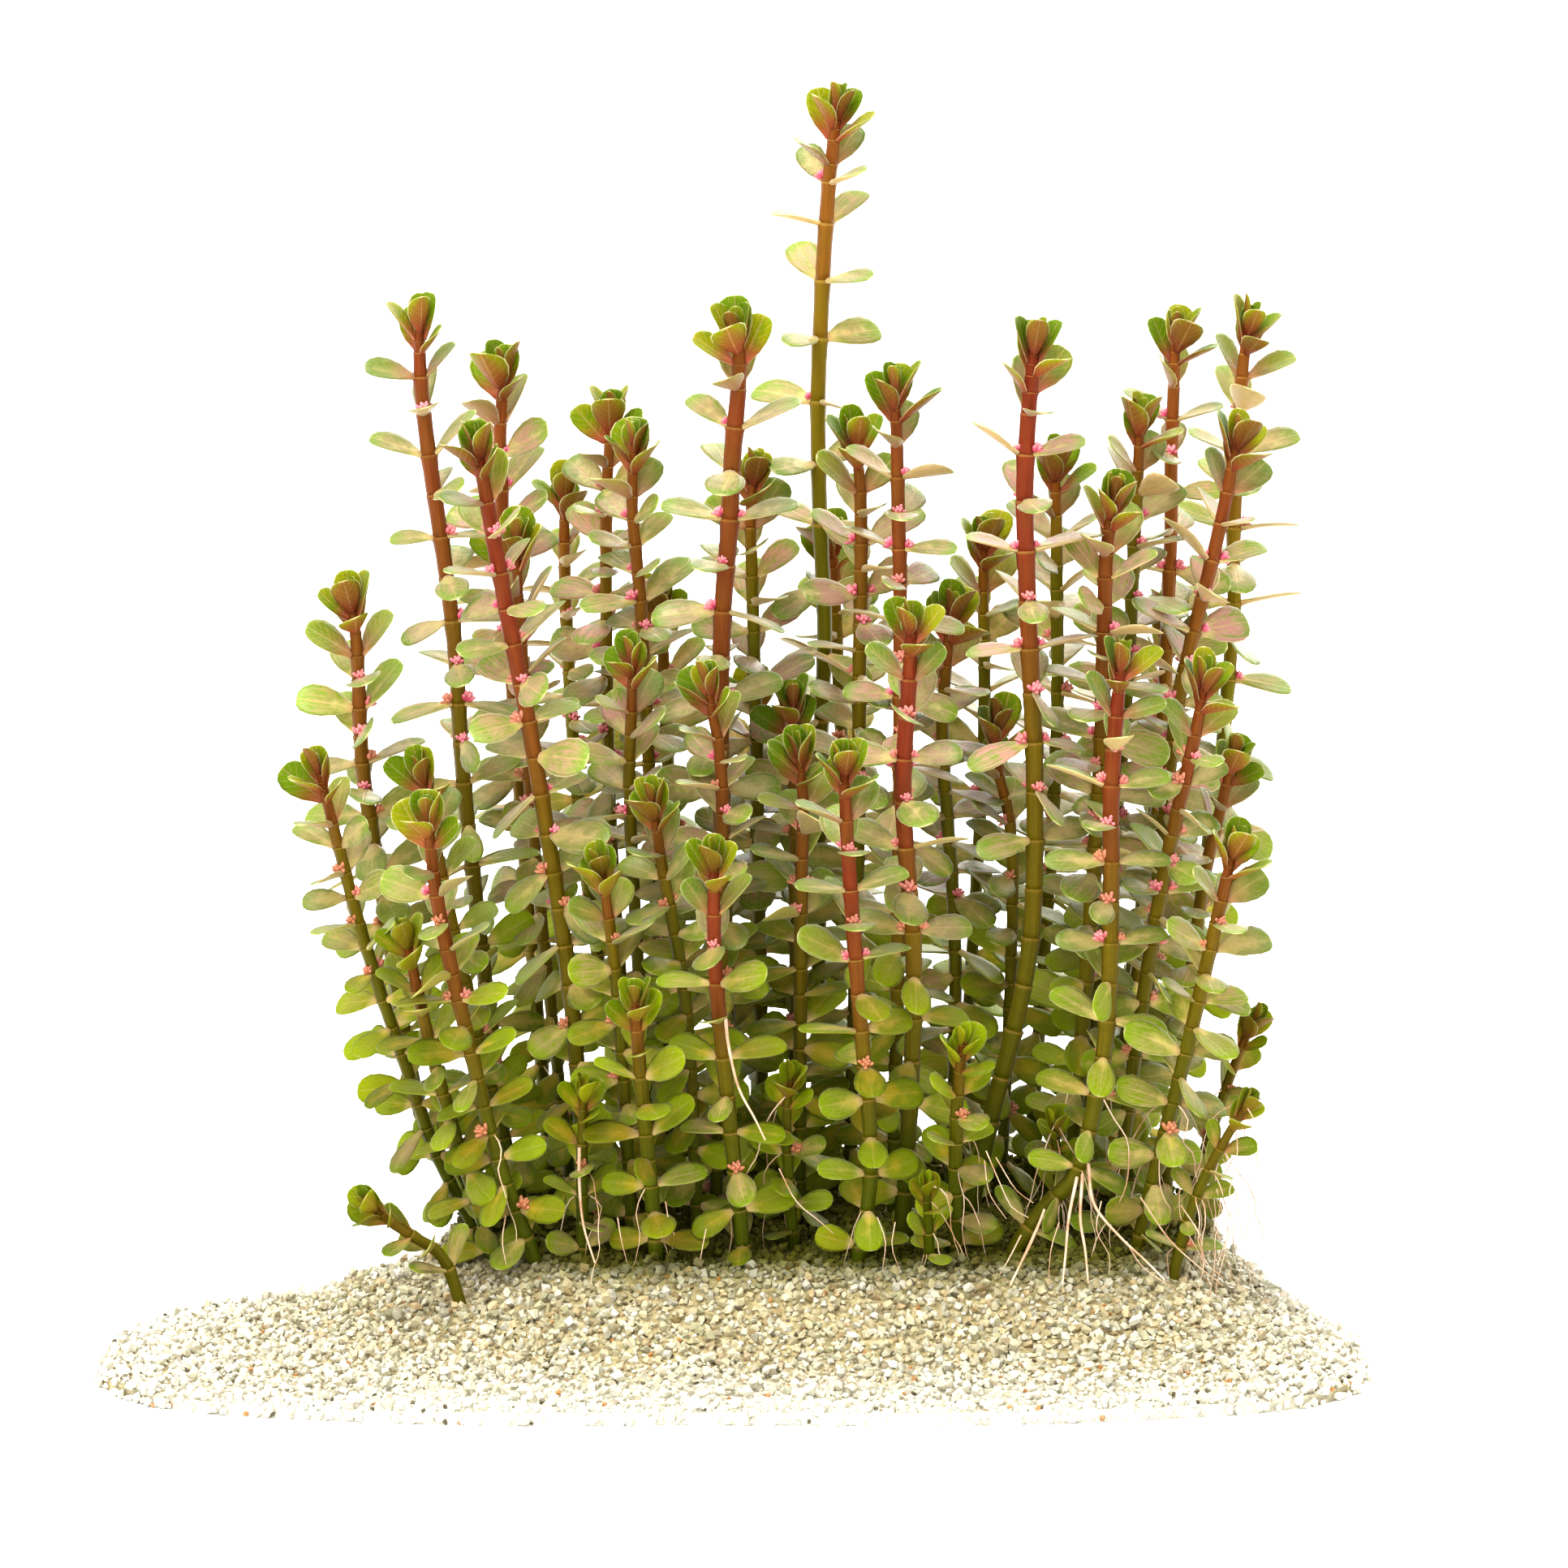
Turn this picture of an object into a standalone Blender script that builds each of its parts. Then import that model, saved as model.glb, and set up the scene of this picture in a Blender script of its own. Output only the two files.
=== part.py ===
"""A dense clump of bonsai rotala, planted in a patch of pale sand.

Metres, +Z up. The origin is under the middle of the sand patch, which rests on Z = 0, and the front is -Y.
The shoots are placed as they are seen from the front: each point of a stem is given by how far it lies to
the side and how high it looks, in millimetres in the upright plane Y = 0, and by its depth in the clump.
"""
import math

import bmesh
import bpy
import numpy as np
from mathutils import Vector

MM = 0.001

# The sand patch, in metres, and its outline from above as places on a box of one unit by one unit, from its
# left tip round the front. Its slope runs from the rim (0) to the level, planted middle (1).
SAND_LENGTH = 0.150
SAND_DEPTH = 0.106
SAND_RIM = 0.0014
SAND_TOP = 0.0095
SAND_OUTLINE = (
    (-0.500, -0.292), (-0.480, -0.387), (-0.400, -0.458), (-0.200, -0.500), (0.0, -0.500), (0.200, -0.500),
    (0.400, -0.458), (0.480, -0.392), (0.500, -0.302), (0.493, -0.189), (0.470, -0.085), (0.443, 0.038),
    (0.423, 0.179), (0.380, 0.321), (0.300, 0.434), (0.187, 0.486), (0.053, 0.500), (-0.067, 0.453),
    (-0.167, 0.368), (-0.240, 0.236), (-0.287, 0.085), (-0.333, -0.019), (-0.400, -0.057), (-0.460, -0.113),
    (-0.490, -0.198),
)
PLANTED_CENTRE = (0.0125, 0.0080)
PLANTED_HALF = (0.047, 0.033)
SLOPE_STEPS = ((0.0, SAND_RIM), (0.45, 0.0030), (0.76, 0.0060), (1.0, SAND_TOP))

# How the stems are planted, and the gap between neighbouring pieces.
SOCKET_FLOOR = 0.0045
CUTTER_ABOVE_SAND = 0.003
GAP = 0.0003

# The eye that the stems' places are read from.
EYE_DISTANCE = 0.575
EYE_TILT = math.radians(9)
AIM_SIDE = 0.0061
AIM_SEEN_HEIGHT = 0.0594
AIM_HEIGHT = 0.0657

# Leaves. A shortened leaf keeps a part of the full width.
LEAF_LENGTH = 0.0066
LEAF_WIDTH = 0.0031
LEAF_THICKNESS = 0.0006
ROSETTE_LENGTH = 0.0052
KEPT_WIDTH = 0.6

# Tiers. One tier stands for two crossing pairs of leaves. They sit close at the tip, where the leaves
# stand up, and farther apart lower down, where the leaves droop.
FIRST_TIER = 0.0035
TIER_STEPS = (0.0062, 0.0115, 0.0165, 0.0215)
TIER_STEP = 0.025
LOWEST_TIER = 0.0065
TOP_LIFTS = (math.radians(62), math.radians(34), math.radians(14))
LOW_LIFT = math.radians(-14)
DROOPING_LENGTH = 0.075
CROSS_LIFT = math.radians(9)

# How a leaf keeps clear of its neighbours: the shares of its length that are tried, the places along it
# that are tested, and their least distances. Leaves are flat, so heights count more than widths.
SHORTER = (1.0, 0.8, 0.62, 0.45)
TESTED_PLACES = (0.4, 0.6, 0.8, 1.0)
STEM_CLEARANCE = 0.0029
LEAF_CLEARANCE = 0.0036
FLATNESS = 2.3

# Fineness of the stems' curves, and the step between two measured points of a stem or root.
CURVE_PIECES = 24
SAMPLE_STEP = 0.0015
ROOT_STEP = 0.003

# Each shoot: where it leaves the sand (side and depth, mm), the depth of its tip (mm), its stem's thickness
# (mm), the bearing of its first leaf (degrees) and the points that its stem passes, as seen, up to its tip.
SHOOTS = (
    (10.5, 24, 26, 2.0, 20,
     ((10.5, 60), (11.1, 77), (10.5, 93), (10.3, 107), (10.9, 122), (11.7, 134), (13, 145))),
    (-28.5, 9, 6, 2.0, 5,
     ((-33, 55.6), (-34.3, 74.5), (-35.7, 86.4), (-37.6, 99.5), (-38.7, 109.7), (-38.8, 119))),
    (-24, 20, 23, 1.8, 50, ((-27, 66), (-28.8, 98.5), (-28.3, 113))),
    (-17.5, -4, -6, 2.1, 35, ((-18.7, 16.2), (-20.5, 36), (-24.4, 61.3), (-28.4, 82.5), (-32.2, 103.5))),
    (-21, 13, 13, 1.6, 80, ((-24.5, 50), (-26.1, 74.3), (-26.8, 85.7), (-26.5, 92))),
    (-31.5, 3, 0, 1.9, 10,
     ((-37.3, 15.5), (-39.9, 24.4), (-43.8, 48.5), (-45.8, 61.3), (-46.5, 75.7), (-47.5, 84.5))),
    (-31.5, -5, -12, 1.6, 60, ((-36.6, 13.5), (-39.9, 22.8), (-45.6, 40), (-50.1, 56.8), (-51.7, 63.5))),
    (-26, 2, -4, 1.6, 25, ((-31.5, 28), (-36, 48), (-39, 63.2))),
    (-24.2, -15, -20, 1.9, 70, ((-29, 12.8), (-32, 24.4), (-36.5, 44.4), (-38, 58))),
    (-29.5, -11, -16, 1.7, 0, ((-32, 8.5), (-35, 18.1), (-37.9, 28.8), (-41, 43))),
    (-32.8, -23, -27, 1.6, 40, ((-36, 1.2), (-39.9, 3.8), (-44.2, 6.8), (-46.3, 9.9))),
    (-14, 33, 38, 1.8, 15, ((-18.5, 50), (-20.7, 79.4), (-21, 98))),
    (-13, 26, 28, 1.7, 65, ((-15, 50), (-15.8, 79.4), (-15.6, 98.5), (-14.7, 107.5))),
    (-8.5, 19, 19, 1.7, 30, ((-10, 50), (-11.5, 80), (-12.6, 93.7), (-12.2, 104))),
    (-5, 30, 33, 1.8, 75, ((-7.5, 50), (-8.9, 79.4), (-8.5, 84.5))),
    (-10.5, 7, 4, 1.6, 45, ((-12.8, 54.1), (-12.7, 68.5), (-12.5, 77.5))),
    (-0.5, 11, 8, 2.3, 85, ((-1.7, 60), (-1.5, 79.2), (-0.7, 90.1), (-0.2, 100.3), (0.6, 110.5), (0, 117.5))),
    (3.5, 21, 22, 1.7, 10, ((2.8, 60), (2.2, 83.7), (2, 93.3), (3, 100))),
    (17, 34, 37, 1.8, 55, ((14, 50), (12.5, 79), (12.4, 85.3), (11.3, 92))),
    (14.5, 16, 15, 1.9, 20, ((15.2, 50), (15.4, 74.8), (15.6, 86.9), (15.4, 97.1), (14.3, 104.5))),
    (20, 9, 8, 1.9, 70, ((20.3, 50), (20.4, 83.7), (20.2, 91.7), (20, 101.3), (19.7, 110.5))),
    (20.5, -8.5, -12, 2.1, 0, ((21.6, 19.5), (22.1, 37.5), (20.8, 57.3), (21.4, 70.1), (22, 81.8))),
    (27.5, 15, 17, 1.7, 40, ((27.2, 39), (25.7, 62.9), (26, 73), (26.9, 83))),
    (29, 1, -1, 2.3, 12,
     ((31.8, 19), (35, 31.5), (36.7, 42.5), (37, 60), (36.2, 80), (35.8, 97.1), (37.1, 115.8))),
    (38, 25, 27, 1.8, 60, ((39.5, 60), (39.7, 86), (39.5, 101.5))),
    (29, 29, 32, 1.7, 30, ((30.5, 60), (30.7, 80), (30.5, 92))),
    (47, 20, 24, 1.8, 78, ((51.5, 50), (53.6, 86), (53.8, 99.7), (54.5, 117.5))),
    (51, 28, 34, 1.9, 5, ((58, 50), (61.3, 77.4), (61.5, 90.1), (62.4, 107.7), (63.6, 118.5))),
    (43, 14, 16, 1.7, 48, ((47.5, 60), (49.4, 92), (50.1, 107.3))),
    (49.5, 8, 12, 1.9, 22, ((53.8, 62.9), (56, 75.6), (58.6, 86), (60.5, 94.3), (62.3, 104.5))),
    (42, 5, 4, 2.1, 66, ((44.7, 54.9), (45.5, 76), (45.8, 87.6), (47.1, 97))),
    (34, -12, -8, 2.1, 0, ((38.4, 7.5), (42.4, 12.2), (45.7, 27.8), (46.4, 46), (46.5, 60), (47.9, 77.2))),
    (47, -4, -5, 1.8, 35, ((49.5, 27), (52.8, 47.6), (57, 66.7), (58.1, 74.7))),
    (53.5, 2, 3, 1.7, 72, ((57.3, 43.8), (59.8, 55.9), (62.1, 65.5))),
    (49.5, -10, -14, 1.9, 18, ((52, 12.2), (56, 27.8), (60.2, 46), (62.1, 54.2))),
    (57, 9, 9, 1.5, 52, ((61, 23.1), (63.6, 29.4), (65.5, 32.3))),
    (53.5, -15, -16, 1.5, 8, ((56.3, 6.9), (59.3, 13.5), (63, 19.8), (64.6, 22.5))),
    (34, 17, 14, 1.6, 62, ((34.3, 48.5), (32.3, 62.2), (32.2, 69.4))),
    (-2.5, 1, -1, 1.7, 28, ((-1.5, 55.4), (-2.8, 68.5), (-3.5, 74.2))),
    (7.5, 14, 14, 1.7, 82, ((7.5, 50), (7.2, 71.5))),
    (8, 4, 2, 1.7, 38, ((8.2, 43), (8.4, 57.3), (7.7, 65.6))),
    (15.2, -16, -19, 1.9, 15, ((16.8, 12.8), (15.3, 32.7), (14, 50.9), (13.3, 64.4))),
    (1.2, -15, -19, 1.9, 0, ((0.1, 11.2), (-1.9, 31.1), (-2.5, 39.8), (-2.5, 52.7))),
    (-4.5, -7, -8, 1.6, 57, ((-5.9, 31.1), (-9.2, 50.9), (-10.2, 60))),
    (-12.5, -8, -13, 1.6, 33, ((-14.5, 34), (-16.8, 52))),
    (-9.3, -16, -20, 1.9, 88, ((-10.9, 16.2), (-11.9, 27.4), (-12.3, 35.3))),
    (27, -13, -18, 1.8, 44, ((27.4, 19), (28.4, 30.1))),
    (23.8, -18, -22, 1.6, 20, ((23.8, 7), (23.6, 12.5))),
    (7.3, -10, -13, 1.6, 68, ((6.4, 17.8), (7.5, 25.7))),
    (-18.5, -13, -16, 1.6, 12, ((-18.8, 14), (-18.4, 24.1))),
    (40.5, -3, -4, 1.6, 50, ((40, 10), (39.2, 20.5))),
    (2.5, 29, 29, 1.7, 25, ((2.7, 40), (2.5, 74))),
    (47, 28, 30, 1.8, 70, ((51, 50), (53.2, 76), (53.8, 83))),
)

# Each aerial root: its points as seen from its stem outwards, and its depth at both ends (mm).
ROOTS = (
    ((-18.9, -22.5), ((-1.1, 30.5), (-0.7, 27), (0.5, 22), (2.5, 18.2), (3.8, 15.5))),
    ((-14, -25.5), ((43.6, 12.6), (44.3, 7.6), (47.5, 3.6), (50.5, 0.8), (53, -1.7))),
    ((-14, -26.5), ((42.9, 11.3), (42.6, 6), (43.2, 2), (43.6, -2.2))),
    ((-14, -27.5), ((42.2, 10.9), (41.2, 6), (40.8, 1.5), (40.4, -2.3))),
    ((-14.2, -27.5), ((38, 6.2), (36.8, 3.6), (35.4, 0.6), (34, -2.4))),
    ((-16.1, -20), ((-19.1, 14.6), (-19.1, 10), (-18.6, 5), (-17.2, 0.4))),
)
ROOT_THICKNESS = 0.0006
ROOT_TAPER = 0.5
ROOT_SIDES = 3
STEM_SIDES = 4

SHOOT_COLOUR = (0.20, 0.27, 0.07)
ROOT_COLOUR = (0.66, 0.55, 0.40)
SAND_COLOUR = (0.71, 0.66, 0.52)


def clear_scene():
    for item in list(bpy.data.objects):
        bpy.data.objects.remove(item, do_unlink=True)


def make_material(name, colour, roughness):
    material = bpy.data.materials.new(name)
    material.use_nodes = True
    shader = material.node_tree.nodes["Principled BSDF"]
    shader.inputs["Base Color"].default_value = (*colour, 1.0)
    shader.inputs["Roughness"].default_value = roughness
    shader.inputs["Metallic"].default_value = 0.0
    material.diffuse_color = (*colour, 1.0)
    return material


def make_object(name, mesh, material):
    mesh.materials.append(material)
    item = bpy.data.objects.new(name, mesh)
    bpy.context.scene.collection.objects.link(item)
    return item


def placed(side, seen_height, depth):
    """The place at a depth that is seen at the given side and height of the plane Y = 0."""
    across = side - AIM_SIDE
    upward = seen_height - AIM_SEEN_HEIGHT
    eye_back = EYE_DISTANCE * math.cos(EYE_TILT)
    eye_height = AIM_HEIGHT + EYE_DISTANCE * math.sin(EYE_TILT)
    reach = (depth + eye_back) / (eye_back + upward * math.sin(EYE_TILT))
    drop = upward * math.cos(EYE_TILT) - EYE_DISTANCE * math.sin(EYE_TILT)
    return Vector((AIM_SIDE + reach * across, depth, eye_height + reach * drop))


def smooth_line(points, step):
    """Points at an even step along a smooth curve through the given points."""
    ends = [points[0] * 2 - points[1], *points, points[-1] * 2 - points[-2]]
    fine = []
    for before, start, end, after in zip(ends, ends[1:], ends[2:], ends[3:]):
        for number in range(CURVE_PIECES):
            t = number / CURVE_PIECES
            fine.append(0.5 * (2 * start + (end - before) * t
                               + (2 * before - 5 * start + 4 * end - after) * t ** 2
                               + (3 * start - before - 3 * end + after) * t ** 3))
    fine.append(points[-1])
    lengths = np.cumsum([0.0] + [(b - a).length for a, b in zip(fine, fine[1:])])
    count = max(2, round(lengths[-1] / step) + 1)
    places = np.linspace(0, lengths[-1], count)
    table = np.array(fine)
    return [Vector([np.interp(place, lengths, table[:, axis]) for axis in range(3)]) for place in places]


class Stem:
    """A stem's centre line, measured by the length from its tip."""

    def __init__(self, row):
        side, depth, tip_depth, thickness, bearing, seen = row
        self.foot = Vector((side * MM, depth * MM, SOCKET_FLOOR + GAP))
        self.radius = thickness * MM / 2
        self.bearing = math.radians(bearing)
        collar = Vector((self.foot.x, self.foot.y, SAND_TOP))
        tip_seen = seen[-1][1]
        points = [collar]
        for across, height in seen:
            share = max(0.0, min(1.0, height / tip_seen))
            points.append(placed(across * MM, height * MM, (depth + (tip_depth - depth) * share) * MM))
        line = [self.foot, *smooth_line(points, SAMPLE_STEP)]
        self.table = np.array(line)
        self.lengths = np.cumsum([0.0] + [(b - a).length for a, b in zip(line, line[1:])])
        self.total = float(self.lengths[-1])

    def at(self, from_tip):
        place = self.total - from_tip
        return Vector([np.interp(place, self.lengths, self.table[:, axis]) for axis in range(3)])

    def frame(self, from_tip):
        """The stem's own direction and the two directions across it that its leaves take."""
        along = (self.at(from_tip - SAMPLE_STEP) - self.at(from_tip + SAMPLE_STEP)).normalized()
        first = Vector((math.cos(self.bearing), math.sin(self.bearing), 0.0))
        first = (first - along * first.dot(along)).normalized()
        return along, first, along.cross(first)

    def tiers(self):
        """Where the leaf tiers sit, from the tip down, and how steeply their leaves rise."""
        places = [FIRST_TIER]
        for step in TIER_STEPS:
            places.append(places[-1] + step)
        while places[-1] < self.total:
            places.append(places[-1] + TIER_STEP)
        lowest = self.total - (SAND_TOP - SOCKET_FLOOR) - LOWEST_TIER
        places = [place for place in places if place < lowest]
        lifts = []
        for number, place in enumerate(places):
            if number < len(TOP_LIFTS):
                lifts.append(TOP_LIFTS[number])
            else:
                share = min(1.0, (place - places[len(TOP_LIFTS) - 1]) / DROOPING_LENGTH)
                lifts.append(TOP_LIFTS[-1] + (LOW_LIFT - TOP_LIFTS[-1]) * share)
        return list(zip(places, lifts))


def leaf_axes(stem, from_tip, number, lift):
    """A leaf's outward and sideways directions: leaves 0 and 2 are one pair, 1 and 3 the next."""
    along, first, second = stem.frame(from_tip)
    turn = number * math.pi / 2
    flat = first * math.cos(turn) + second * math.sin(turn)
    across = second * math.cos(turn) - first * math.sin(turn)
    rise = lift + (CROSS_LIFT if number % 2 else -CROSS_LIFT)
    outward = flat * math.cos(rise) + along * math.sin(rise)
    return outward, across


def leaf_samples(stem, from_tip, number, lift, length):
    """Points along a leaf's middle line."""
    outward, _ = leaf_axes(stem, from_tip, number, lift)
    start = stem.at(from_tip) + outward * stem.radius
    return np.array([start + outward * place * length for place in TESTED_PLACES])


def nearest(samples, others, flatness):
    """The least distance between two sets of points, with heights counted several times."""
    if not len(others):
        return math.inf
    gaps = samples[:, None, :] - others[None, :, :]
    gaps[:, :, 2] *= flatness
    return float(np.linalg.norm(gaps, axis=2).min())


def plan_leaves(stems):
    """The length of each leaf of each tier, shortened or left out where a neighbour stands in its way."""
    plans = [[] for _ in stems]
    leaf_points = [np.zeros((0, 3)) for _ in stems]
    tier_lists = [stem.tiers() for stem in stems]
    for level in range(max(len(tiers) for tiers in tier_lists)):
        for index, stem in enumerate(stems):
            if level >= len(tier_lists[index]):
                continue
            from_tip, lift = tier_lists[index][level]
            full = ROSETTE_LENGTH if level == 0 else LEAF_LENGTH
            other_stems = np.vstack([other.table for other in stems if other is not stem])
            other_leaves = np.vstack([points for place, points in enumerate(leaf_points) if place != index])
            lengths = []
            for number in range(STEM_SIDES):
                chosen = 0.0
                for share in SHORTER:
                    samples = leaf_samples(stem, from_tip, number, lift, full * share)
                    clear_of_stems = nearest(samples, other_stems, 1.0) > STEM_CLEARANCE
                    clear_of_leaves = nearest(samples, other_leaves, FLATNESS) > LEAF_CLEARANCE
                    if clear_of_stems and clear_of_leaves and samples[:, 2].min() > SAND_TOP + 2 * GAP:
                        chosen = full * share
                        leaf_points[index] = np.vstack([leaf_points[index], samples])
                        break
                lengths.append(chosen)
            plans[index].append((from_tip, lift, lengths))
    return plans


def ring(shape, stem, from_tip, radius):
    """Four corners around the stem, half way between its leaves."""
    _, first, second = stem.frame(max(from_tip, SAMPLE_STEP))
    centre = stem.at(from_tip)
    corners = []
    for number in range(STEM_SIDES):
        turn = (number + 0.5) * 2 * math.pi / STEM_SIDES
        corners.append(shape.verts.new(centre + radius * (first * math.cos(turn) + second * math.sin(turn))))
    return corners


def join_rings(shape, lower, upper):
    for number in range(len(lower)):
        after = (number + 1) % len(lower)
        shape.faces.new((lower[number], lower[after], upper[after], upper[number]))


def make_tier(shape, stem, lower, plan):
    """Four flat leaves between a ring under them and a ring above them, which it gives back."""
    from_tip, lift, lengths = plan
    neck = ring(shape, stem, from_tip, stem.radius)
    join_rings(shape, lower, neck)
    upper = ring(shape, stem, from_tip - LEAF_THICKNESS, stem.radius)
    for number, length in enumerate(lengths):
        right = neck[number - 1]
        left = neck[number]
        right_above = upper[number - 1]
        left_above = upper[number]
        if length == 0.0:
            shape.faces.new((right, left, left_above, right_above))
            continue
        outward, across = leaf_axes(stem, from_tip, number, lift)
        end = stem.at(from_tip) + outward * (stem.radius + length)
        half = across * LEAF_WIDTH / 2 * (KEPT_WIDTH + (1 - KEPT_WIDTH) * length / LEAF_LENGTH)
        end_left = shape.verts.new(end + half)
        end_right = shape.verts.new(end - half)
        shape.faces.new((right, left, end_left, end_right))
        shape.faces.new((right_above, end_right, end_left, left_above))
        shape.faces.new((right, end_right, right_above))
        shape.faces.new((left, left_above, end_left))
    return upper


def finished_mesh(name, shape):
    mesh = bpy.data.meshes.new(name)
    shape.to_mesh(mesh)
    shape.free()
    return mesh


def make_shoot(name, stem, plan, material):
    """A shoot from its foot in the sand to its pointed tip, grown tier by tier."""
    shape = bmesh.new()
    lower = ring(shape, stem, stem.total, stem.radius)
    shape.faces.new(list(reversed(lower)))
    collar = ring(shape, stem, stem.total - (SAND_TOP - SOCKET_FLOOR), stem.radius)
    join_rings(shape, lower, collar)
    lower = collar
    for tier in reversed(plan):
        lower = make_tier(shape, stem, lower, tier)
    top = shape.verts.new(stem.at(0.0))
    for number in range(STEM_SIDES):
        shape.faces.new((lower[number], lower[(number + 1) % STEM_SIDES], top))
    bmesh.ops.triangulate(shape, faces=shape.faces)
    return make_object(name, finished_mesh(name, shape), material)


def root_line(row):
    (depth, end_depth), seen = row
    points = []
    for number, (across, height) in enumerate(seen):
        share = number / (len(seen) - 1)
        points.append(placed(across * MM, height * MM, (depth + (end_depth - depth) * share) * MM))
    return smooth_line(points, ROOT_STEP)


def make_root(name, row, material):
    """A thin three-sided root, tapering to its end."""
    line = root_line(row)
    shape = bmesh.new()
    rings = []
    for number, point in enumerate(line):
        before = line[max(number - 1, 0)]
        after = line[min(number + 1, len(line) - 1)]
        along = (after - before).normalized()
        side = along.cross(Vector((0, 1, 0))).normalized()
        back = along.cross(side)
        radius = ROOT_THICKNESS / 2 * (1.0 - ROOT_TAPER * number / (len(line) - 1))
        corners = []
        for corner in range(ROOT_SIDES):
            turn = corner * 2 * math.pi / ROOT_SIDES
            corners.append(shape.verts.new(point + radius * (side * math.cos(turn) + back * math.sin(turn))))
        rings.append(corners)
    shape.faces.new(list(reversed(rings[0])))
    shape.faces.new(rings[-1])
    for lower, upper in zip(rings, rings[1:]):
        join_rings(shape, lower, upper)
    bmesh.ops.recalc_face_normals(shape, faces=shape.faces)
    return make_object(name, finished_mesh(name, shape), material)


def sand_place(outer, share):
    """The place at a share of the way from a point of the rim to the planted middle."""
    centre = Vector((PLANTED_CENTRE[0], PLANTED_CENTRE[1], 0.0))
    across = outer - centre
    inner = across / math.hypot(across.x / PLANTED_HALF[0], across.y / PLANTED_HALF[1])
    return centre + across.lerp(inner, share)


def sand_ring(shape, share, height):
    """One ring of the mound, between its outline (0) and the planted middle (1)."""
    points = []
    for x, y in SAND_OUTLINE:
        place = sand_place(Vector((x * SAND_LENGTH, y * SAND_DEPTH, 0.0)), share)
        place.z = height
        points.append(shape.verts.new(place))
    return points


def make_mound(name, material):
    """The low mound of sand, flat underneath and level where the stems are planted."""
    shape = bmesh.new()
    rings = [sand_ring(shape, 0.0, 0.0)]
    for share, height in SLOPE_STEPS:
        rings.append(sand_ring(shape, share, height))
    shape.faces.new(list(reversed(rings[0])))
    shape.faces.new(rings[-1])
    for lower, upper in zip(rings, rings[1:]):
        join_rings(shape, lower, upper)
    return make_object(name, finished_mesh(name, shape), material)


def cut_sockets(sand, stems):
    """One square hole in the sand for each stem, a gap wider than the stem."""
    shape = bmesh.new()
    for stem in stems:
        radius = stem.radius + GAP * math.sqrt(2)
        corners = []
        for number in range(STEM_SIDES):
            turn = stem.bearing + (number + 0.5) * 2 * math.pi / STEM_SIDES
            corners.append((stem.foot.x + radius * math.cos(turn), stem.foot.y + radius * math.sin(turn)))
        low = [shape.verts.new((x, y, SOCKET_FLOOR)) for x, y in corners]
        high = [shape.verts.new((x, y, SAND_TOP + CUTTER_ABOVE_SAND)) for x, y in corners]
        shape.faces.new(list(reversed(low)))
        shape.faces.new(high)
        join_rings(shape, low, high)
    cutter = bpy.data.objects.new("socket_cutter", finished_mesh("socket_cutter", shape))
    bpy.context.scene.collection.objects.link(cutter)
    cutter.hide_render = True
    cutter.display_type = "WIRE"
    cut = sand.modifiers.new("sockets", "BOOLEAN")
    cut.operation = "DIFFERENCE"
    cut.solver = "EXACT"
    cut.object = cutter


def main():
    clear_scene()
    shoot_material = make_material("shoot", SHOOT_COLOUR, 0.45)
    root_material = make_material("root", ROOT_COLOUR, 0.6)
    sand_material = make_material("sand", SAND_COLOUR, 0.9)
    stems = [Stem(row) for row in SHOOTS]
    plans = plan_leaves(stems)
    for number, (stem, plan) in enumerate(zip(stems, plans), start=1):
        make_shoot(f"shoot_{number:02d}", stem, plan, shoot_material)
    for number, row in enumerate(ROOTS, start=1):
        make_root(f"root_{number:02d}", row, root_material)
    sand = make_mound("sand_bed", sand_material)
    cut_sockets(sand, stems)


main()
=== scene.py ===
"""The looks of the bonsai rotala clump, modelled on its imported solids.

Metres, +Z up, front at -Y, in the solids' own frame. Leaves, buds, stem sections and sand grains are each
modelled once, and then copied to their places along the stems and over the sand.
"""

import math

import bmesh
import bpy
import numpy as np
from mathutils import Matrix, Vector


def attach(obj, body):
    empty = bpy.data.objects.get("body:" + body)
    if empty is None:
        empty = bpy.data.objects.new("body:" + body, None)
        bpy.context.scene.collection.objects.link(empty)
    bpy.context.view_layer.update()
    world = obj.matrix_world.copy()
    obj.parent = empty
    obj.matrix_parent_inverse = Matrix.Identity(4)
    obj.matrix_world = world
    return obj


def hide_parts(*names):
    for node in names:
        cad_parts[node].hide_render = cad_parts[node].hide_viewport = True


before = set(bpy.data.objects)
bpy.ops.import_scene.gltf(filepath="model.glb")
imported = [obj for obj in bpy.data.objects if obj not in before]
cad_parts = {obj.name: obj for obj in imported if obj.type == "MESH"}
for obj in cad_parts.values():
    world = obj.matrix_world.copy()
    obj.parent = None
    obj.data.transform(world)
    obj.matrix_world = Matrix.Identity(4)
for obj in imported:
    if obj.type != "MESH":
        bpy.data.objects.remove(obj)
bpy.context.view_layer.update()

MM = 0.001

# The sand patch, as its solid has it: its size in metres, its outline as places on a box of one unit by one
# unit, and its slope from the rim (0) to the level, planted middle (1).
SAND_LENGTH = 0.150
SAND_DEPTH = 0.106
SAND_RIM = 0.0014
SAND_TOP = 0.0095
SAND_OUTLINE = (
    (-0.500, -0.292), (-0.480, -0.387), (-0.400, -0.458), (-0.200, -0.500), (0.0, -0.500), (0.200, -0.500),
    (0.400, -0.458), (0.480, -0.392), (0.500, -0.302), (0.493, -0.189), (0.470, -0.085), (0.443, 0.038),
    (0.423, 0.179), (0.380, 0.321), (0.300, 0.434), (0.187, 0.486), (0.053, 0.500), (-0.067, 0.453),
    (-0.167, 0.368), (-0.240, 0.236), (-0.287, 0.085), (-0.333, -0.019), (-0.400, -0.057), (-0.460, -0.113),
    (-0.490, -0.198),
)
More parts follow.
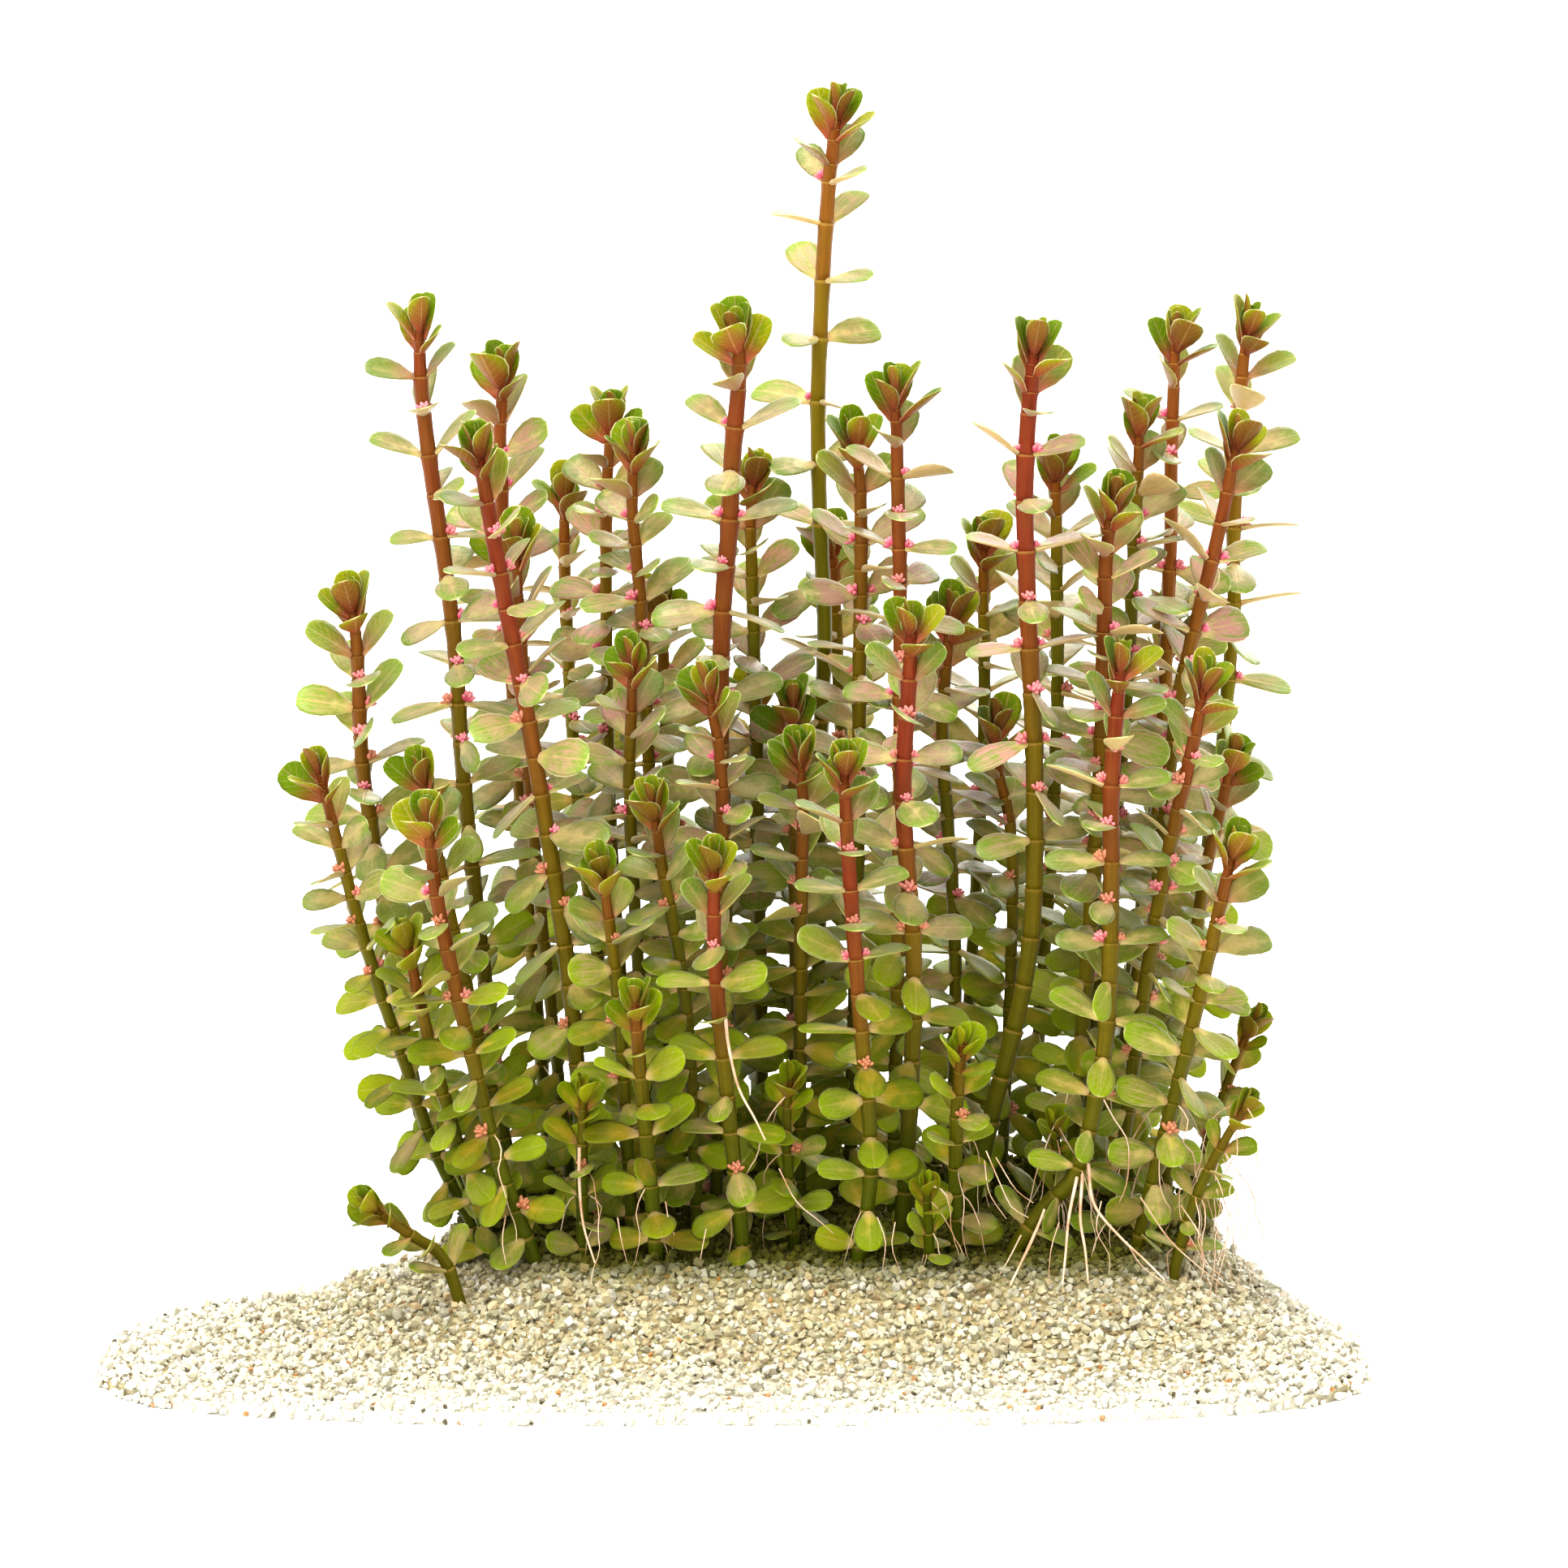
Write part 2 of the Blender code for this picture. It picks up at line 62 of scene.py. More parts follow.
PLANTED_CENTRE = (0.0125, 0.0080)
PLANTED_HALF = (0.047, 0.033)
SLOPE_STEPS = ((0.0, SAND_RIM), (0.45, 0.0030), (0.76, 0.0060), (1.0, SAND_TOP))
SOCKET_FLOOR = 0.0045
GAP = 0.0003

# The eye that the stems' places are read from. The camera stands there too.
EYE_DISTANCE = 0.575
EYE_TILT = math.radians(9)
AIM_SIDE = 0.0061
AIM_SEEN_HEIGHT = 0.0594
AIM_HEIGHT = 0.0657
PICTURE_WIDTH = 0.1932
SENSOR_MM = 36.0

# Fineness of the stems' and roots' curves.
CURVE_PIECES = 24
SAMPLE_STEP = 0.0015
ROOT_STEP = 0.0012

# Each shoot: where it leaves the sand (side and depth, mm), the depth of its tip (mm), its stem's thickness
# (mm), the bearing of its first leaf (degrees) and the points that its stem passes, as seen, up to its tip.
SHOOTS = (
    (10.5, 24, 26, 2.0, 20,
     ((10.5, 60), (11.1, 77), (10.5, 93), (10.3, 107), (10.9, 122), (11.7, 134), (13, 145))),
    (-28.5, 9, 6, 2.0, 5,
     ((-33, 55.6), (-34.3, 74.5), (-35.7, 86.4), (-37.6, 99.5), (-38.7, 109.7), (-38.8, 119))),
    (-24, 20, 23, 1.8, 50, ((-27, 66), (-28.8, 98.5), (-28.3, 113))),
    (-17.5, -4, -6, 2.1, 35, ((-18.7, 16.2), (-20.5, 36), (-24.4, 61.3), (-28.4, 82.5), (-32.2, 103.5))),
    (-21, 13, 13, 1.6, 80, ((-24.5, 50), (-26.1, 74.3), (-26.8, 85.7), (-26.5, 92))),
    (-31.5, 3, 0, 1.9, 10,
     ((-37.3, 15.5), (-39.9, 24.4), (-43.8, 48.5), (-45.8, 61.3), (-46.5, 75.7), (-47.5, 84.5))),
    (-31.5, -5, -12, 1.6, 60, ((-36.6, 13.5), (-39.9, 22.8), (-45.6, 40), (-50.1, 56.8), (-51.7, 63.5))),
    (-26, 2, -4, 1.6, 25, ((-31.5, 28), (-36, 48), (-39, 63.2))),
    (-24.2, -15, -20, 1.9, 70, ((-29, 12.8), (-32, 24.4), (-36.5, 44.4), (-38, 58))),
    (-29.5, -11, -16, 1.7, 0, ((-32, 8.5), (-35, 18.1), (-37.9, 28.8), (-41, 43))),
    (-32.8, -23, -27, 1.6, 40, ((-36, 1.2), (-39.9, 3.8), (-44.2, 6.8), (-46.3, 9.9))),
    (-14, 33, 38, 1.8, 15, ((-18.5, 50), (-20.7, 79.4), (-21, 98))),
    (-13, 26, 28, 1.7, 65, ((-15, 50), (-15.8, 79.4), (-15.6, 98.5), (-14.7, 107.5))),
    (-8.5, 19, 19, 1.7, 30, ((-10, 50), (-11.5, 80), (-12.6, 93.7), (-12.2, 104))),
    (-5, 30, 33, 1.8, 75, ((-7.5, 50), (-8.9, 79.4), (-8.5, 84.5))),
    (-10.5, 7, 4, 1.6, 45, ((-12.8, 54.1), (-12.7, 68.5), (-12.5, 77.5))),
    (-0.5, 11, 8, 2.3, 85, ((-1.7, 60), (-1.5, 79.2), (-0.7, 90.1), (-0.2, 100.3), (0.6, 110.5), (0, 117.5))),
    (3.5, 21, 22, 1.7, 10, ((2.8, 60), (2.2, 83.7), (2, 93.3), (3, 100))),
    (17, 34, 37, 1.8, 55, ((14, 50), (12.5, 79), (12.4, 85.3), (11.3, 92))),
    (14.5, 16, 15, 1.9, 20, ((15.2, 50), (15.4, 74.8), (15.6, 86.9), (15.4, 97.1), (14.3, 104.5))),
    (20, 9, 8, 1.9, 70, ((20.3, 50), (20.4, 83.7), (20.2, 91.7), (20, 101.3), (19.7, 110.5))),
    (20.5, -8.5, -12, 2.1, 0, ((21.6, 19.5), (22.1, 37.5), (20.8, 57.3), (21.4, 70.1), (22, 81.8))),
    (27.5, 15, 17, 1.7, 40, ((27.2, 39), (25.7, 62.9), (26, 73), (26.9, 83))),
    (29, 1, -1, 2.3, 12,
     ((31.8, 19), (35, 31.5), (36.7, 42.5), (37, 60), (36.2, 80), (35.8, 97.1), (37.1, 115.8))),
    (38, 25, 27, 1.8, 60, ((39.5, 60), (39.7, 86), (39.5, 101.5))),
    (29, 29, 32, 1.7, 30, ((30.5, 60), (30.7, 80), (30.5, 92))),
    (47, 20, 24, 1.8, 78, ((51.5, 50), (53.6, 86), (53.8, 99.7), (54.5, 117.5))),
    (51, 28, 34, 1.9, 5, ((58, 50), (61.3, 77.4), (61.5, 90.1), (62.4, 107.7), (63.6, 118.5))),
    (43, 14, 16, 1.7, 48, ((47.5, 60), (49.4, 92), (50.1, 107.3))),
    (49.5, 8, 12, 1.9, 22, ((53.8, 62.9), (56, 75.6), (58.6, 86), (60.5, 94.3), (62.3, 104.5))),
    (42, 5, 4, 2.1, 66, ((44.7, 54.9), (45.5, 76), (45.8, 87.6), (47.1, 97))),
    (34, -12, -8, 2.1, 0, ((38.4, 7.5), (42.4, 12.2), (45.7, 27.8), (46.4, 46), (46.5, 60), (47.9, 77.2))),
    (47, -4, -5, 1.8, 35, ((49.5, 27), (52.8, 47.6), (57, 66.7), (58.1, 74.7))),
    (53.5, 2, 3, 1.7, 72, ((57.3, 43.8), (59.8, 55.9), (62.1, 65.5))),
    (49.5, -10, -14, 1.9, 18, ((52, 12.2), (56, 27.8), (60.2, 46), (62.1, 54.2))),
    (57, 9, 9, 1.5, 52, ((61, 23.1), (63.6, 29.4), (65.5, 32.3))),
    (53.5, -15, -16, 1.5, 8, ((56.3, 6.9), (59.3, 13.5), (63, 19.8), (64.6, 22.5))),
    (34, 17, 14, 1.6, 62, ((34.3, 48.5), (32.3, 62.2), (32.2, 69.4))),
    (-2.5, 1, -1, 1.7, 28, ((-1.5, 55.4), (-2.8, 68.5), (-3.5, 74.2))),
    (7.5, 14, 14, 1.7, 82, ((7.5, 50), (7.2, 71.5))),
    (8, 4, 2, 1.7, 38, ((8.2, 43), (8.4, 57.3), (7.7, 65.6))),
    (15.2, -16, -19, 1.9, 15, ((16.8, 12.8), (15.3, 32.7), (14, 50.9), (13.3, 64.4))),
    (1.2, -15, -19, 1.9, 0, ((0.1, 11.2), (-1.9, 31.1), (-2.5, 39.8), (-2.5, 52.7))),
    (-4.5, -7, -8, 1.6, 57, ((-5.9, 31.1), (-9.2, 50.9), (-10.2, 60))),
    (-12.5, -8, -13, 1.6, 33, ((-14.5, 34), (-16.8, 52))),
    (-9.3, -16, -20, 1.9, 88, ((-10.9, 16.2), (-11.9, 27.4), (-12.3, 35.3))),
    (27, -13, -18, 1.8, 44, ((27.4, 19), (28.4, 30.1))),
    (23.8, -18, -22, 1.6, 20, ((23.8, 7), (23.6, 12.5))),
    (7.3, -10, -13, 1.6, 68, ((6.4, 17.8), (7.5, 25.7))),
    (-18.5, -13, -16, 1.6, 12, ((-18.8, 14), (-18.4, 24.1))),
    (40.5, -3, -4, 1.6, 50, ((40, 10), (39.2, 20.5))),
    (2.5, 29, 29, 1.7, 25, ((2.7, 40), (2.5, 74))),
    (47, 28, 30, 1.8, 70, ((51, 50), (53.2, 76), (53.8, 83))),
)

# How red each shoot's stem is near its tip, from brown (0) to crimson (1), in the order of the shoots.
REDNESS = (
    0.25, 0.65, 0.60, 0.95, 0.55, 0.40, 0.10, 0.15, 0.55, 0.20, 0.10, 0.30, 0.40, 0.35, 0.20, 0.25, 0.65,
    0.15, 0.10, 0.30, 0.60, 1.00, 0.25, 1.00, 0.10, 0.10, 0.50, 0.40, 0.40, 0.65, 0.55, 1.00, 0.70, 0.25,
    0.20, 0.10, 0.10, 0.35, 0.50, 0.25, 0.40, 0.80, 0.95, 0.15, 0.20, 0.20, 0.10, 0.00, 0.10, 0.10, 0.00,
    0.05, 0.25,
)

# How far below its tip each shoot's stem has turned olive (mm), in the order of the shoots. It is green at
# twice that distance.
OLIVE_FROM = (
    30, 48, 58, 48, 44, 30, 14, 20, 34, 16, 12, 18, 28, 34, 13, 15, 75, 11,
    11, 30, 75, 40, 14, 48, 9, 9, 60, 30, 12, 34, 38, 30, 25, 22, 16, 7,
    7, 17, 30, 22, 24, 40, 27, 10, 10, 13, 9, 5, 6, 6, 5, 6, 15,
)

# The length between leaf pairs, below the tip (m), where a shoot's differs from the usual one, and the places
# of the upper pairs of the tallest shoot, which stand apart. Its pairs are also turned (degrees).
INTERNODE = 0.0034
LONGER_INTERNODES = {
    1: 0.0080, 2: 0.0052, 3: 0.0046, 4: 0.0047, 17: 0.0056, 21: 0.0046, 22: 0.0054, 24: 0.0058, 27: 0.0048,
    28: 0.0050, 30: 0.0046, 32: 0.0047, 42: 0.0044, 43: 0.0046,
}
OWN_PLACES = {1: (0.0117, 0.0169, 0.0241, 0.0314, 0.0394, 0.0473)}
TURNED = {1: 25}

# Each aerial root: its points as seen from its stem outwards, and its depth at both ends (mm).
ROOTS = (
    ((-18.9, -22.5), ((-1.1, 30.5), (-0.7, 27), (0.5, 22), (2.5, 18.2), (3.8, 15.5))),
    ((-14, -25.5), ((43.6, 12.6), (44.3, 7.6), (47.5, 3.6), (50.5, 0.8), (53, -1.7))),
    ((-14, -26.5), ((42.9, 11.3), (42.6, 6), (43.2, 2), (43.6, -2.2))),
    ((-14, -27.5), ((42.2, 10.9), (41.2, 6), (40.8, 1.5), (40.4, -2.3))),
    ((-14.2, -27.5), ((38, 6.2), (36.8, 3.6), (35.4, 0.6), (34, -2.4))),
    ((-16.1, -20), ((-19.1, 14.6), (-19.1, 10), (-18.6, 5), (-17.2, 0.4))),
)
ROOT_THICKNESS = 0.0006
ROOT_SLIMNESS = 0.75
ROOT_TAPER = 0.5

# Hair roots that stand out: the depth (mm) of each, its thickness (mm) and its points as seen, from the top.
HAIRS = (
    (-24, 0.32, ((38.2, 7), (36.4, 2.5), (33.4, -3.2))),
    (-23, 0.20, ((35.3, 3.8), (33.6, 0.5), (31.2, -3.4))),
    (-19, 0.23, ((50, 8.5), (53.4, 3.5), (56.5, 0.5), (60.2, -2.4))),
    (-21, 0.20, ((48.3, 3), (50.2, 0), (53.8, -2.6))),
    (-20, 0.18, ((31, 14.2), (32.8, 10), (34.2, 7.2), (36.2, 6))),
    (-19, 0.17, ((30.8, 13), (31.4, 9), (33.5, 5.8))),
    (-18, 0.17, ((32.2, 13.4), (34.6, 9.5), (36.8, 7.8))),
    (-14, 0.17, ((60.2, 13.2), (62, 8), (62.6, 2), (63.8, -2.4))),
    (-12, 0.15, ((62, 12), (63.4, 7), (63, 2.5), (64.2, -2))),
    (-15, 0.15, ((59.4, 9.5), (60.6, 5), (62.4, 1), (62, -2.6))),
    (-20, 0.17, ((55, 7.5), (57.2, 4), (58, 0.6), (60.4, -1.6))),
    (-20, 0.20, ((-28.2, 6.2), (-28.6, 3), (-28, -0.4))),
    (-20, 0.18, ((5.5, 12), (7.6, 8), (10.4, 5.6), (12.2, 4))),
    (-19, 0.17, ((-14.4, 6), (-13.9, 3), (-13.1, 0))),
    (-20, 0.17, ((-8.5, 8), (-8.1, 5.6), (-7.4, 3.8))),
    (-21, 0.17, ((-3.5, 4.6), (-4, 2), (-4.4, -0.4))),
    (-22, 0.17, ((17.6, 6), (18.6, 3), (18.2, -0.6))),
    (-22, 0.15, ((19.8, 5.4), (19.4, 2.4), (20.4, -0.6))),
    (-19, 0.17, ((45.2, 8), (44.6, 4.4), (46.2, 1.2), (46, -2))),
    (-22, 0.18, ((40, 5.4), (39, 2), (38.6, -2.6))),
)

# Hair roots that grow here and there from the lowest leaf pairs, in the number for one pair of each shoot. A
# foot is a share of the stem's radius, and a length is a share of the height above the sand.
HAIR_POINTS = 9
HAIR_STEP = 0.0012
HAIR_ZONE = 0.030
HAIR_THICKNESS = (0.00012, 0.00021)
HAIR_FOOT = 0.8
HAIR_LENGTHS = (0.7, 1.6)
HAIR_SPARE = 0.003
HAIR_TAPER = 0.5
HAIR_DIP = -0.3
HAIR_FALL = -0.55
HAIR_WANDER = 0.34
HAIR_DEPTH = 0.0004
HAIR_USUAL = 0.06
HAIR_RICHNESS = {
    31: 0.6, 32: 1.6, 33: 0.9, 34: 0.8, 35: 1.5, 36: 1.2, 37: 1.6, 42: 0.3, 43: 0.4, 46: 0.4, 47: 0.9,
    48: 0.8, 49: 0.5, 50: 0.5, 51: 1.5,
}

# Leaf pairs down from a shoot's tip. The first ones make the rosette (m). The steps below it are shares of
# the shoot's internode. The other tables follow the distance below the tip (mm).
ROSETTE_PAIRS = (0.0030, 0.0040, 0.0050, 0.0064, 0.0094)
OWN_ROSETTES = {24: (0.0026, 0.0036, 0.0046, 0.0060, 0.0080, 0.0106)}
FIRST_STEP_SHARE = 0.86
STEP_SCATTER = 0.07
LOWEST_LEAF = 0.0007
LIFTS = (
    (3.0, 78), (4.0, 68), (5.0, 58), (6.4, 48), (9.4, 39), (13.4, 31), (18, 22), (24, 14), (35, 6), (60, -2),
    (100, -5),
)
LENGTHS = (
    (3.0, 3.5), (4.0, 4.8), (5.0, 5.9), (6.4, 6.1), (9.4, 6.3), (14, 6.8), (30, 7.4), (60, 7.0), (100, 6.6),
)
BREADTHS = (
    (3.0, 1.08), (4.0, 1.26), (5.0, 1.34), (6.4, 1.34), (9.4, 1.32), (14, 1.26), (22, 1.18), (60, 1.14),
    (100, 1.16),
)
FRONT_SIZES = ((-15, 20), (0.90, 1.03))
LOW_STEP_SHARE = 1.02
LOW_STEP_HEIGHTS = (0.030, 0.065)
LOW_SIZE_SHARE = 0.90
LEAF_SIZES = {11: 0.98, 36: 0.84, 37: 0.84, 48: 0.80, 51: 0.80, 47: 0.90, 49: 0.88, 50: 0.90}

# How far a leaf's face turns to the light, by drooping and by rolling (degrees), and how much more it does
# both low on the clump. Close to the sand a leaf rises instead.
DROOPS = ((3, 10), (4, 18), (5, 27), (6.4, 29), (9.4, 25), (16, 17), (30, 17), (60, 21), (100, 25))
ROLLS = ((3, 12), (4, 26), (6, 36), (10, 38), (16, 28), (30, 26), (60, 36), (100, 44))
LOW_TURN = 8.0
LOW_HEIGHTS = (0.014, 0.050)
LOW_TURN_FROM = (8, 22)
SAND_LIFT = 10.0
SAND_LIFT_HEIGHTS = (0.0, 0.008)
OUTWARD_SHARE = 0.5
SCATTER_GROWTH = ((4, 12), (0.35, 1.0))
LIFT_SCATTER = 8.0
TURN_SCATTER = 11.0
ROLL_SCATTER = 19.0
SIZE_SCATTER = 0.09
SHOOT_BREADTHS = (0.86, 1.08)
NARROW_LEAVED = (1, 2, 20, 21, 24, 27, 32, 39)
NARROW_BREADTH = 0.86
FULL_STEM = 0.0018
VIGOUR_POWER = 0.35
LEAF_FOOT = 0.7

# The starts of the random draws: a shoot's leaves and its dressing, the hair roots and the grains.
LEAF_SEED = 5200
SHOOT_SEED = 5700
HAIR_SEED = 6100
GRAIN_SEED = 5900

# A stem's share of its full thickness, by the distance below its tip (mm), and the stretch of one shoot, from
# there down, that has lost its leaves (mm).
TAPER = ((0, 0.34), (4, 0.60), (6, 0.76), (10, 0.90), (16, 0.99), (24, 1.02))
BARE_BELOW = {24: 69}
BARE_SHARE = 0.75

# What a leaf tries where a neighbour stands in its way: turn and rise (degrees) and share of its length. The
# first pairs try nothing and are never shed. Tested are places along the leaf, and across its half width.
TRIES = (
    (0, 0, 1.0), (12, 0, 1.0), (-12, 0, 1.0), (0, 12, 1.0), (0, -12, 1.0), (22, 8, 0.95), (-22, -8, 0.95),
    (0, 20, 0.88), (0, -18, 0.88), (28, 0, 0.8), (-28, 0, 0.8), (0, 8, 0.65),
)
SURE_PAIRS = 3
TESTED_PLACES = ((0.35, 0.0), (0.6, 0.88), (0.6, -0.88), (0.8, 0.0), (1.0, 0.0))
NEIGHBOUR_REACH = 0.020
LEAF_REACH = 0.016
STEM_ROOM = 0.0014
LEAF_ROOM = 0.0010
FLATNESS = 1.5
IN_SAND = -0.001
SHED_BELOW = -0.0013

# A leaf's cross-sections from its stalk to its tip: place along it, half width and half thickness, as shares
# of its length and width, and its share of the leaf's hollow. The hollow's steps are stretches of the half
# width, with their share of the rim's rise. The map counts along a leaf's underside from 2.
LEAF_SIDES = 8
LEAF_WIDTH = 0.54
HOLLOW_STEPS = ((0.5, 0.9, 0.5), (0.9, 1.1, 1.0))
UNDERSIDE = 2.0
LEAF_SECTIONS = (
    (0.03, 0.26, 0.100, 0.6),
    (0.13, 0.42, 0.080, 0.9),
    (0.31, 0.77, 0.064, 1.0),
    (0.53, 0.98, 0.054, 1.0),
    (0.73, 1.00, 0.046, 0.9),
    (0.89, 0.79, 0.038, 0.6),
    (0.975, 0.44, 0.030, 0.2),
)

# Leaf forms: how high the rim stands over the midrib, and how far the tip curves up or down.
LEAF_FORMS = {
    "folded": (0.46, 0.08),
    "cupped": (0.36, 0.03),
    "spread": (0.22, -0.05),
    "drooping": (0.14, -0.12),
}
FORM_PLACES = (5, 11, 24, 80)
LAST_FORM = 2.999
FORM_SCATTER = 0.35

# A stem section's rings from its lower to its upper end: place along it, and its reach toward the leaves and
# between them. It overlaps the section above and widens under its leaf pair.
STEM_SIDES = 8
SECTION_FOOT = 0.93
SECTION_RINGS = (
    (0.15, 0.96, 0.95),
    (0.60, 0.96, 0.95),
    (0.88, 1.05, 0.99),
    (0.99, 1.16, 1.03),
    (1.02, 0.98, 0.95),
)

# Buds: a scale's size (m), the tilt and turn of each scale of a cluster (degrees), and where they grow. The
# foot is a share of the stem's radius, and the rise is above the leaf pair (m).
BUD_SIDES = 5
BUD_RINGS = 4
BUD_LENGTH = 0.00125
BUD_WIDTH = 0.00027
BUD_SCALES = ((0, 0), (24, 10), (46, 60), (20, 120), (50, 160), (26, 215), (44, 262), (18, 310), (52, 345))
FIRST_BUD = 0.011
LAST_BUD = 0.062
BUD_SHARE = 0.22
BUD_REDNESS = 0.50
LATE_BUD_SHARE = 0.15
BUD_SIZES = (0.80, 1.25)
BUD_LEANS = (25, 60)
BUD_FOOT = 0.9
BUD_RISE = 0.0003

# A shoot's finishes, in their order, how far its soft young leaves reach below the tip and its lush ones
# above the ground, and the distances below the tip that its tones count up to (m).
LEAF_FINISH = 0
STEM_FINISH = 1
BUD_FINISH = 2
SOFT_FINISH = 3
YOUNG_REACH = 0.008
LUSH_HEIGHT = 0.046
STEM_AGE = 0.085
LEAF_AGE = 0.100

# How lush and green a shoot grows near the sand, where it isn't fully so, and how much pink a shoot shows,
# and each of its leaves. That pink is partly the leaves' own tint and partly a painted sheen.
LUSHNESS = {11: 0.50, 32: 0.60, 33: 0.55, 34: 0.60, 35: 0.60, 36: 0.45, 37: 0.45}
SHOOT_BLUSH_AND_SHEEN = (0.30, 1.05)
LEAF_BLUSH_AND_SHEEN = (0.6, 1.4)

# The mound: its fineness, the height of its swells (m), and the waves of swells and ripples (radians per
# metre, with where a swell starts).
MOUND_POINTS = 128
MOUND_RINGS = 26
RIM_FROM = 0.999
JUST_INSIDE = 0.9999
SAND_SWELL = 0.00022
SWELL_ACROSS = (210, 1.3)
SWELL_DEEP = (260, 0.4)
RIPPLE_SHARE = 0.6
RIPPLES = (480, 350)
SWELL_FADE = 4

# The grains: their spacing and sizes (m), how far up they lie on the first and the second layer, as shares of
# their size, and where they get painted glare (paler) and painted shade (darker), by depth and by the share
# of the way in from the rim.
GRAIN_SPACING = 0.00096
ROW_SPACING = GRAIN_SPACING * math.sqrt(3) / 2
SPARE_ROWS = 4
GRAIN_JITTER = 0.00027
GRAIN_SIZES = (0.00080, 0.00180)
LARGE_GRAIN_RARITY = 1.8
GRAIN_SIDES = 4
GRAIN_RINGS = 3
GRAIN_UNEVENNESS = 0.24
GRAIN_STRETCHES = ((1.0, 0.85, 0.7), (1.2, 0.8, 0.75), (0.9, 0.9, 0.9), (1.1, 1.0, 0.6), (0.8, 1.1, 0.75))
GRAIN_MIXING = 997
GRAIN_LEAST_LIFT = 0.42
GRAIN_LIFTS = (0.12, 0.62)
GRAIN_PIECES = 3
LOOSE_SHARE = 0.14
GRAIN_OVERHANG = -0.012
GRAIN_ROOM = 0.2
RIM_GRAIN_STEP = 0.00060
RIM_POINTS = 20000
GLARE_RIM_SHARES = (0.08, 0.62)
SHADE_DEPTHS = (-0.031, -0.018)
SHADE_RIM_SHARES = (0.8, 1.0)
SHADE_FINISH_SHARE = 0.45
DARK_KINDS = 0.935

# The studio.
WORLD_LIGHT = 2.04
CAMERA_CLIP = (0.01, 20.0)
FLOOR_SIDES = 96
FLOOR_RADIUS = 3.0
LIGHTS = (
    ("top_light", (-0.15, -0.10, 0.75), 0.5, 10.0),
    ("front_light", (-0.45, -0.75, 0.45), 0.6, 5.0),
    ("back_light", (0.25, 0.70, 0.40), 0.7, 9.0),
)


def curve_point(before, start, end, after, t):
    """The point at a share t of the way from start to end, on a smooth curve through all four."""
    return 0.5 * (2 * start + (end - before) * t
                  + (2 * before - 5 * start + 4 * end - after) * t ** 2
                  + (3 * start - before - 3 * end + after) * t ** 3)


def placed(side, seen_height, depth):
    """The place at a depth that is seen at the given side and height of the plane Y = 0."""
    across = side - AIM_SIDE
    upward = seen_height - AIM_SEEN_HEIGHT
    eye_back = EYE_DISTANCE * math.cos(EYE_TILT)
    eye_height = AIM_HEIGHT + EYE_DISTANCE * math.sin(EYE_TILT)
    reach = (depth + eye_back) / (eye_back + upward * math.sin(EYE_TILT))
    drop = upward * math.cos(EYE_TILT) - EYE_DISTANCE * math.sin(EYE_TILT)
    return Vector((AIM_SIDE + reach * across, depth, eye_height + reach * drop))


def smooth_line(points, step):
    """Points at an even step along a smooth curve through the given points."""
    ends = [points[0] * 2 - points[1], *points, points[-1] * 2 - points[-2]]
    fine = []
    for before, start, end, after in zip(ends, ends[1:], ends[2:], ends[3:]):
        for number in range(CURVE_PIECES):
            fine.append(curve_point(before, start, end, after, number / CURVE_PIECES))
    fine.append(points[-1])
    lengths = np.cumsum([0.0] + [(b - a).length for a, b in zip(fine, fine[1:])])
    count = max(2, round(lengths[-1] / step) + 1)
    places = np.linspace(0, lengths[-1], count)
    table = np.array(fine)
    return [Vector([np.interp(place, lengths, table[:, axis]) for axis in range(3)]) for place in places]


class Stem:
    """A stem's centre line, measured by the length from its tip."""

    def __init__(self, row, turned=0.0):
        side, depth, tip_depth, thickness, bearing, seen = row
        self.foot = Vector((side * MM, depth * MM, SOCKET_FLOOR + GAP))
        self.radius = thickness * MM / 2
        self.bearing = math.radians(bearing + turned)
        collar = Vector((self.foot.x, self.foot.y, min(SAND_TOP, ground_height(self.foot.x, self.foot.y))))
        self.buried = collar.z - SOCKET_FLOOR
        tip_seen = seen[-1][1]
        points = [collar]
        for across, height in seen:
            share = max(0.0, min(1.0, height / tip_seen))
            points.append(placed(across * MM, height * MM, (depth + (tip_depth - depth) * share) * MM))
        line = [self.foot, *smooth_line(points, SAMPLE_STEP)]
        self.table = np.array(line)
        self.lengths = np.cumsum([0.0] + [(b - a).length for a, b in zip(line, line[1:])])
        self.total = float(self.lengths[-1])

    def reach(self, from_tip):
        """The stem's radius, which thins out toward the tip."""
        return self.radius * by_distance(TAPER, from_tip)

    def at(self, from_tip):
        """The centre line's point at a distance below the tip."""
        place = self.total - from_tip
        return Vector([np.interp(place, self.lengths, self.table[:, axis]) for axis in range(3)])

    def frame(self, from_tip, turn=0.0):
        """The stem's own direction and two directions across it, the first turned from its bearing."""
        along = (self.at(from_tip - SAMPLE_STEP) - self.at(from_tip + SAMPLE_STEP)).normalized()
        bearing = self.bearing + turn
        first = Vector((math.cos(bearing), math.sin(bearing), 0.0))
        first = (first - along * first.dot(along)).normalized()
        return along, first, along.cross(first)


# Modelling by hand: small steps that the shapes share.


def clear_selection():
    bpy.ops.object.select_all(action="DESELECT")


def open_shape(name, add, kind, **settings):
    """Adds a primitive, puts its turn into its mesh and opens it for editing with all of it selected."""
    clear_selection()
    add(**settings)
    item = bpy.context.object
    item.name = name
    bpy.ops.object.transform_apply(location=True, rotation=True, scale=True)
    bpy.ops.object.mode_set(mode="EDIT")
    bpy.ops.mesh.select_mode(type=kind)
    bpy.ops.mesh.select_all(action="SELECT")
    return item


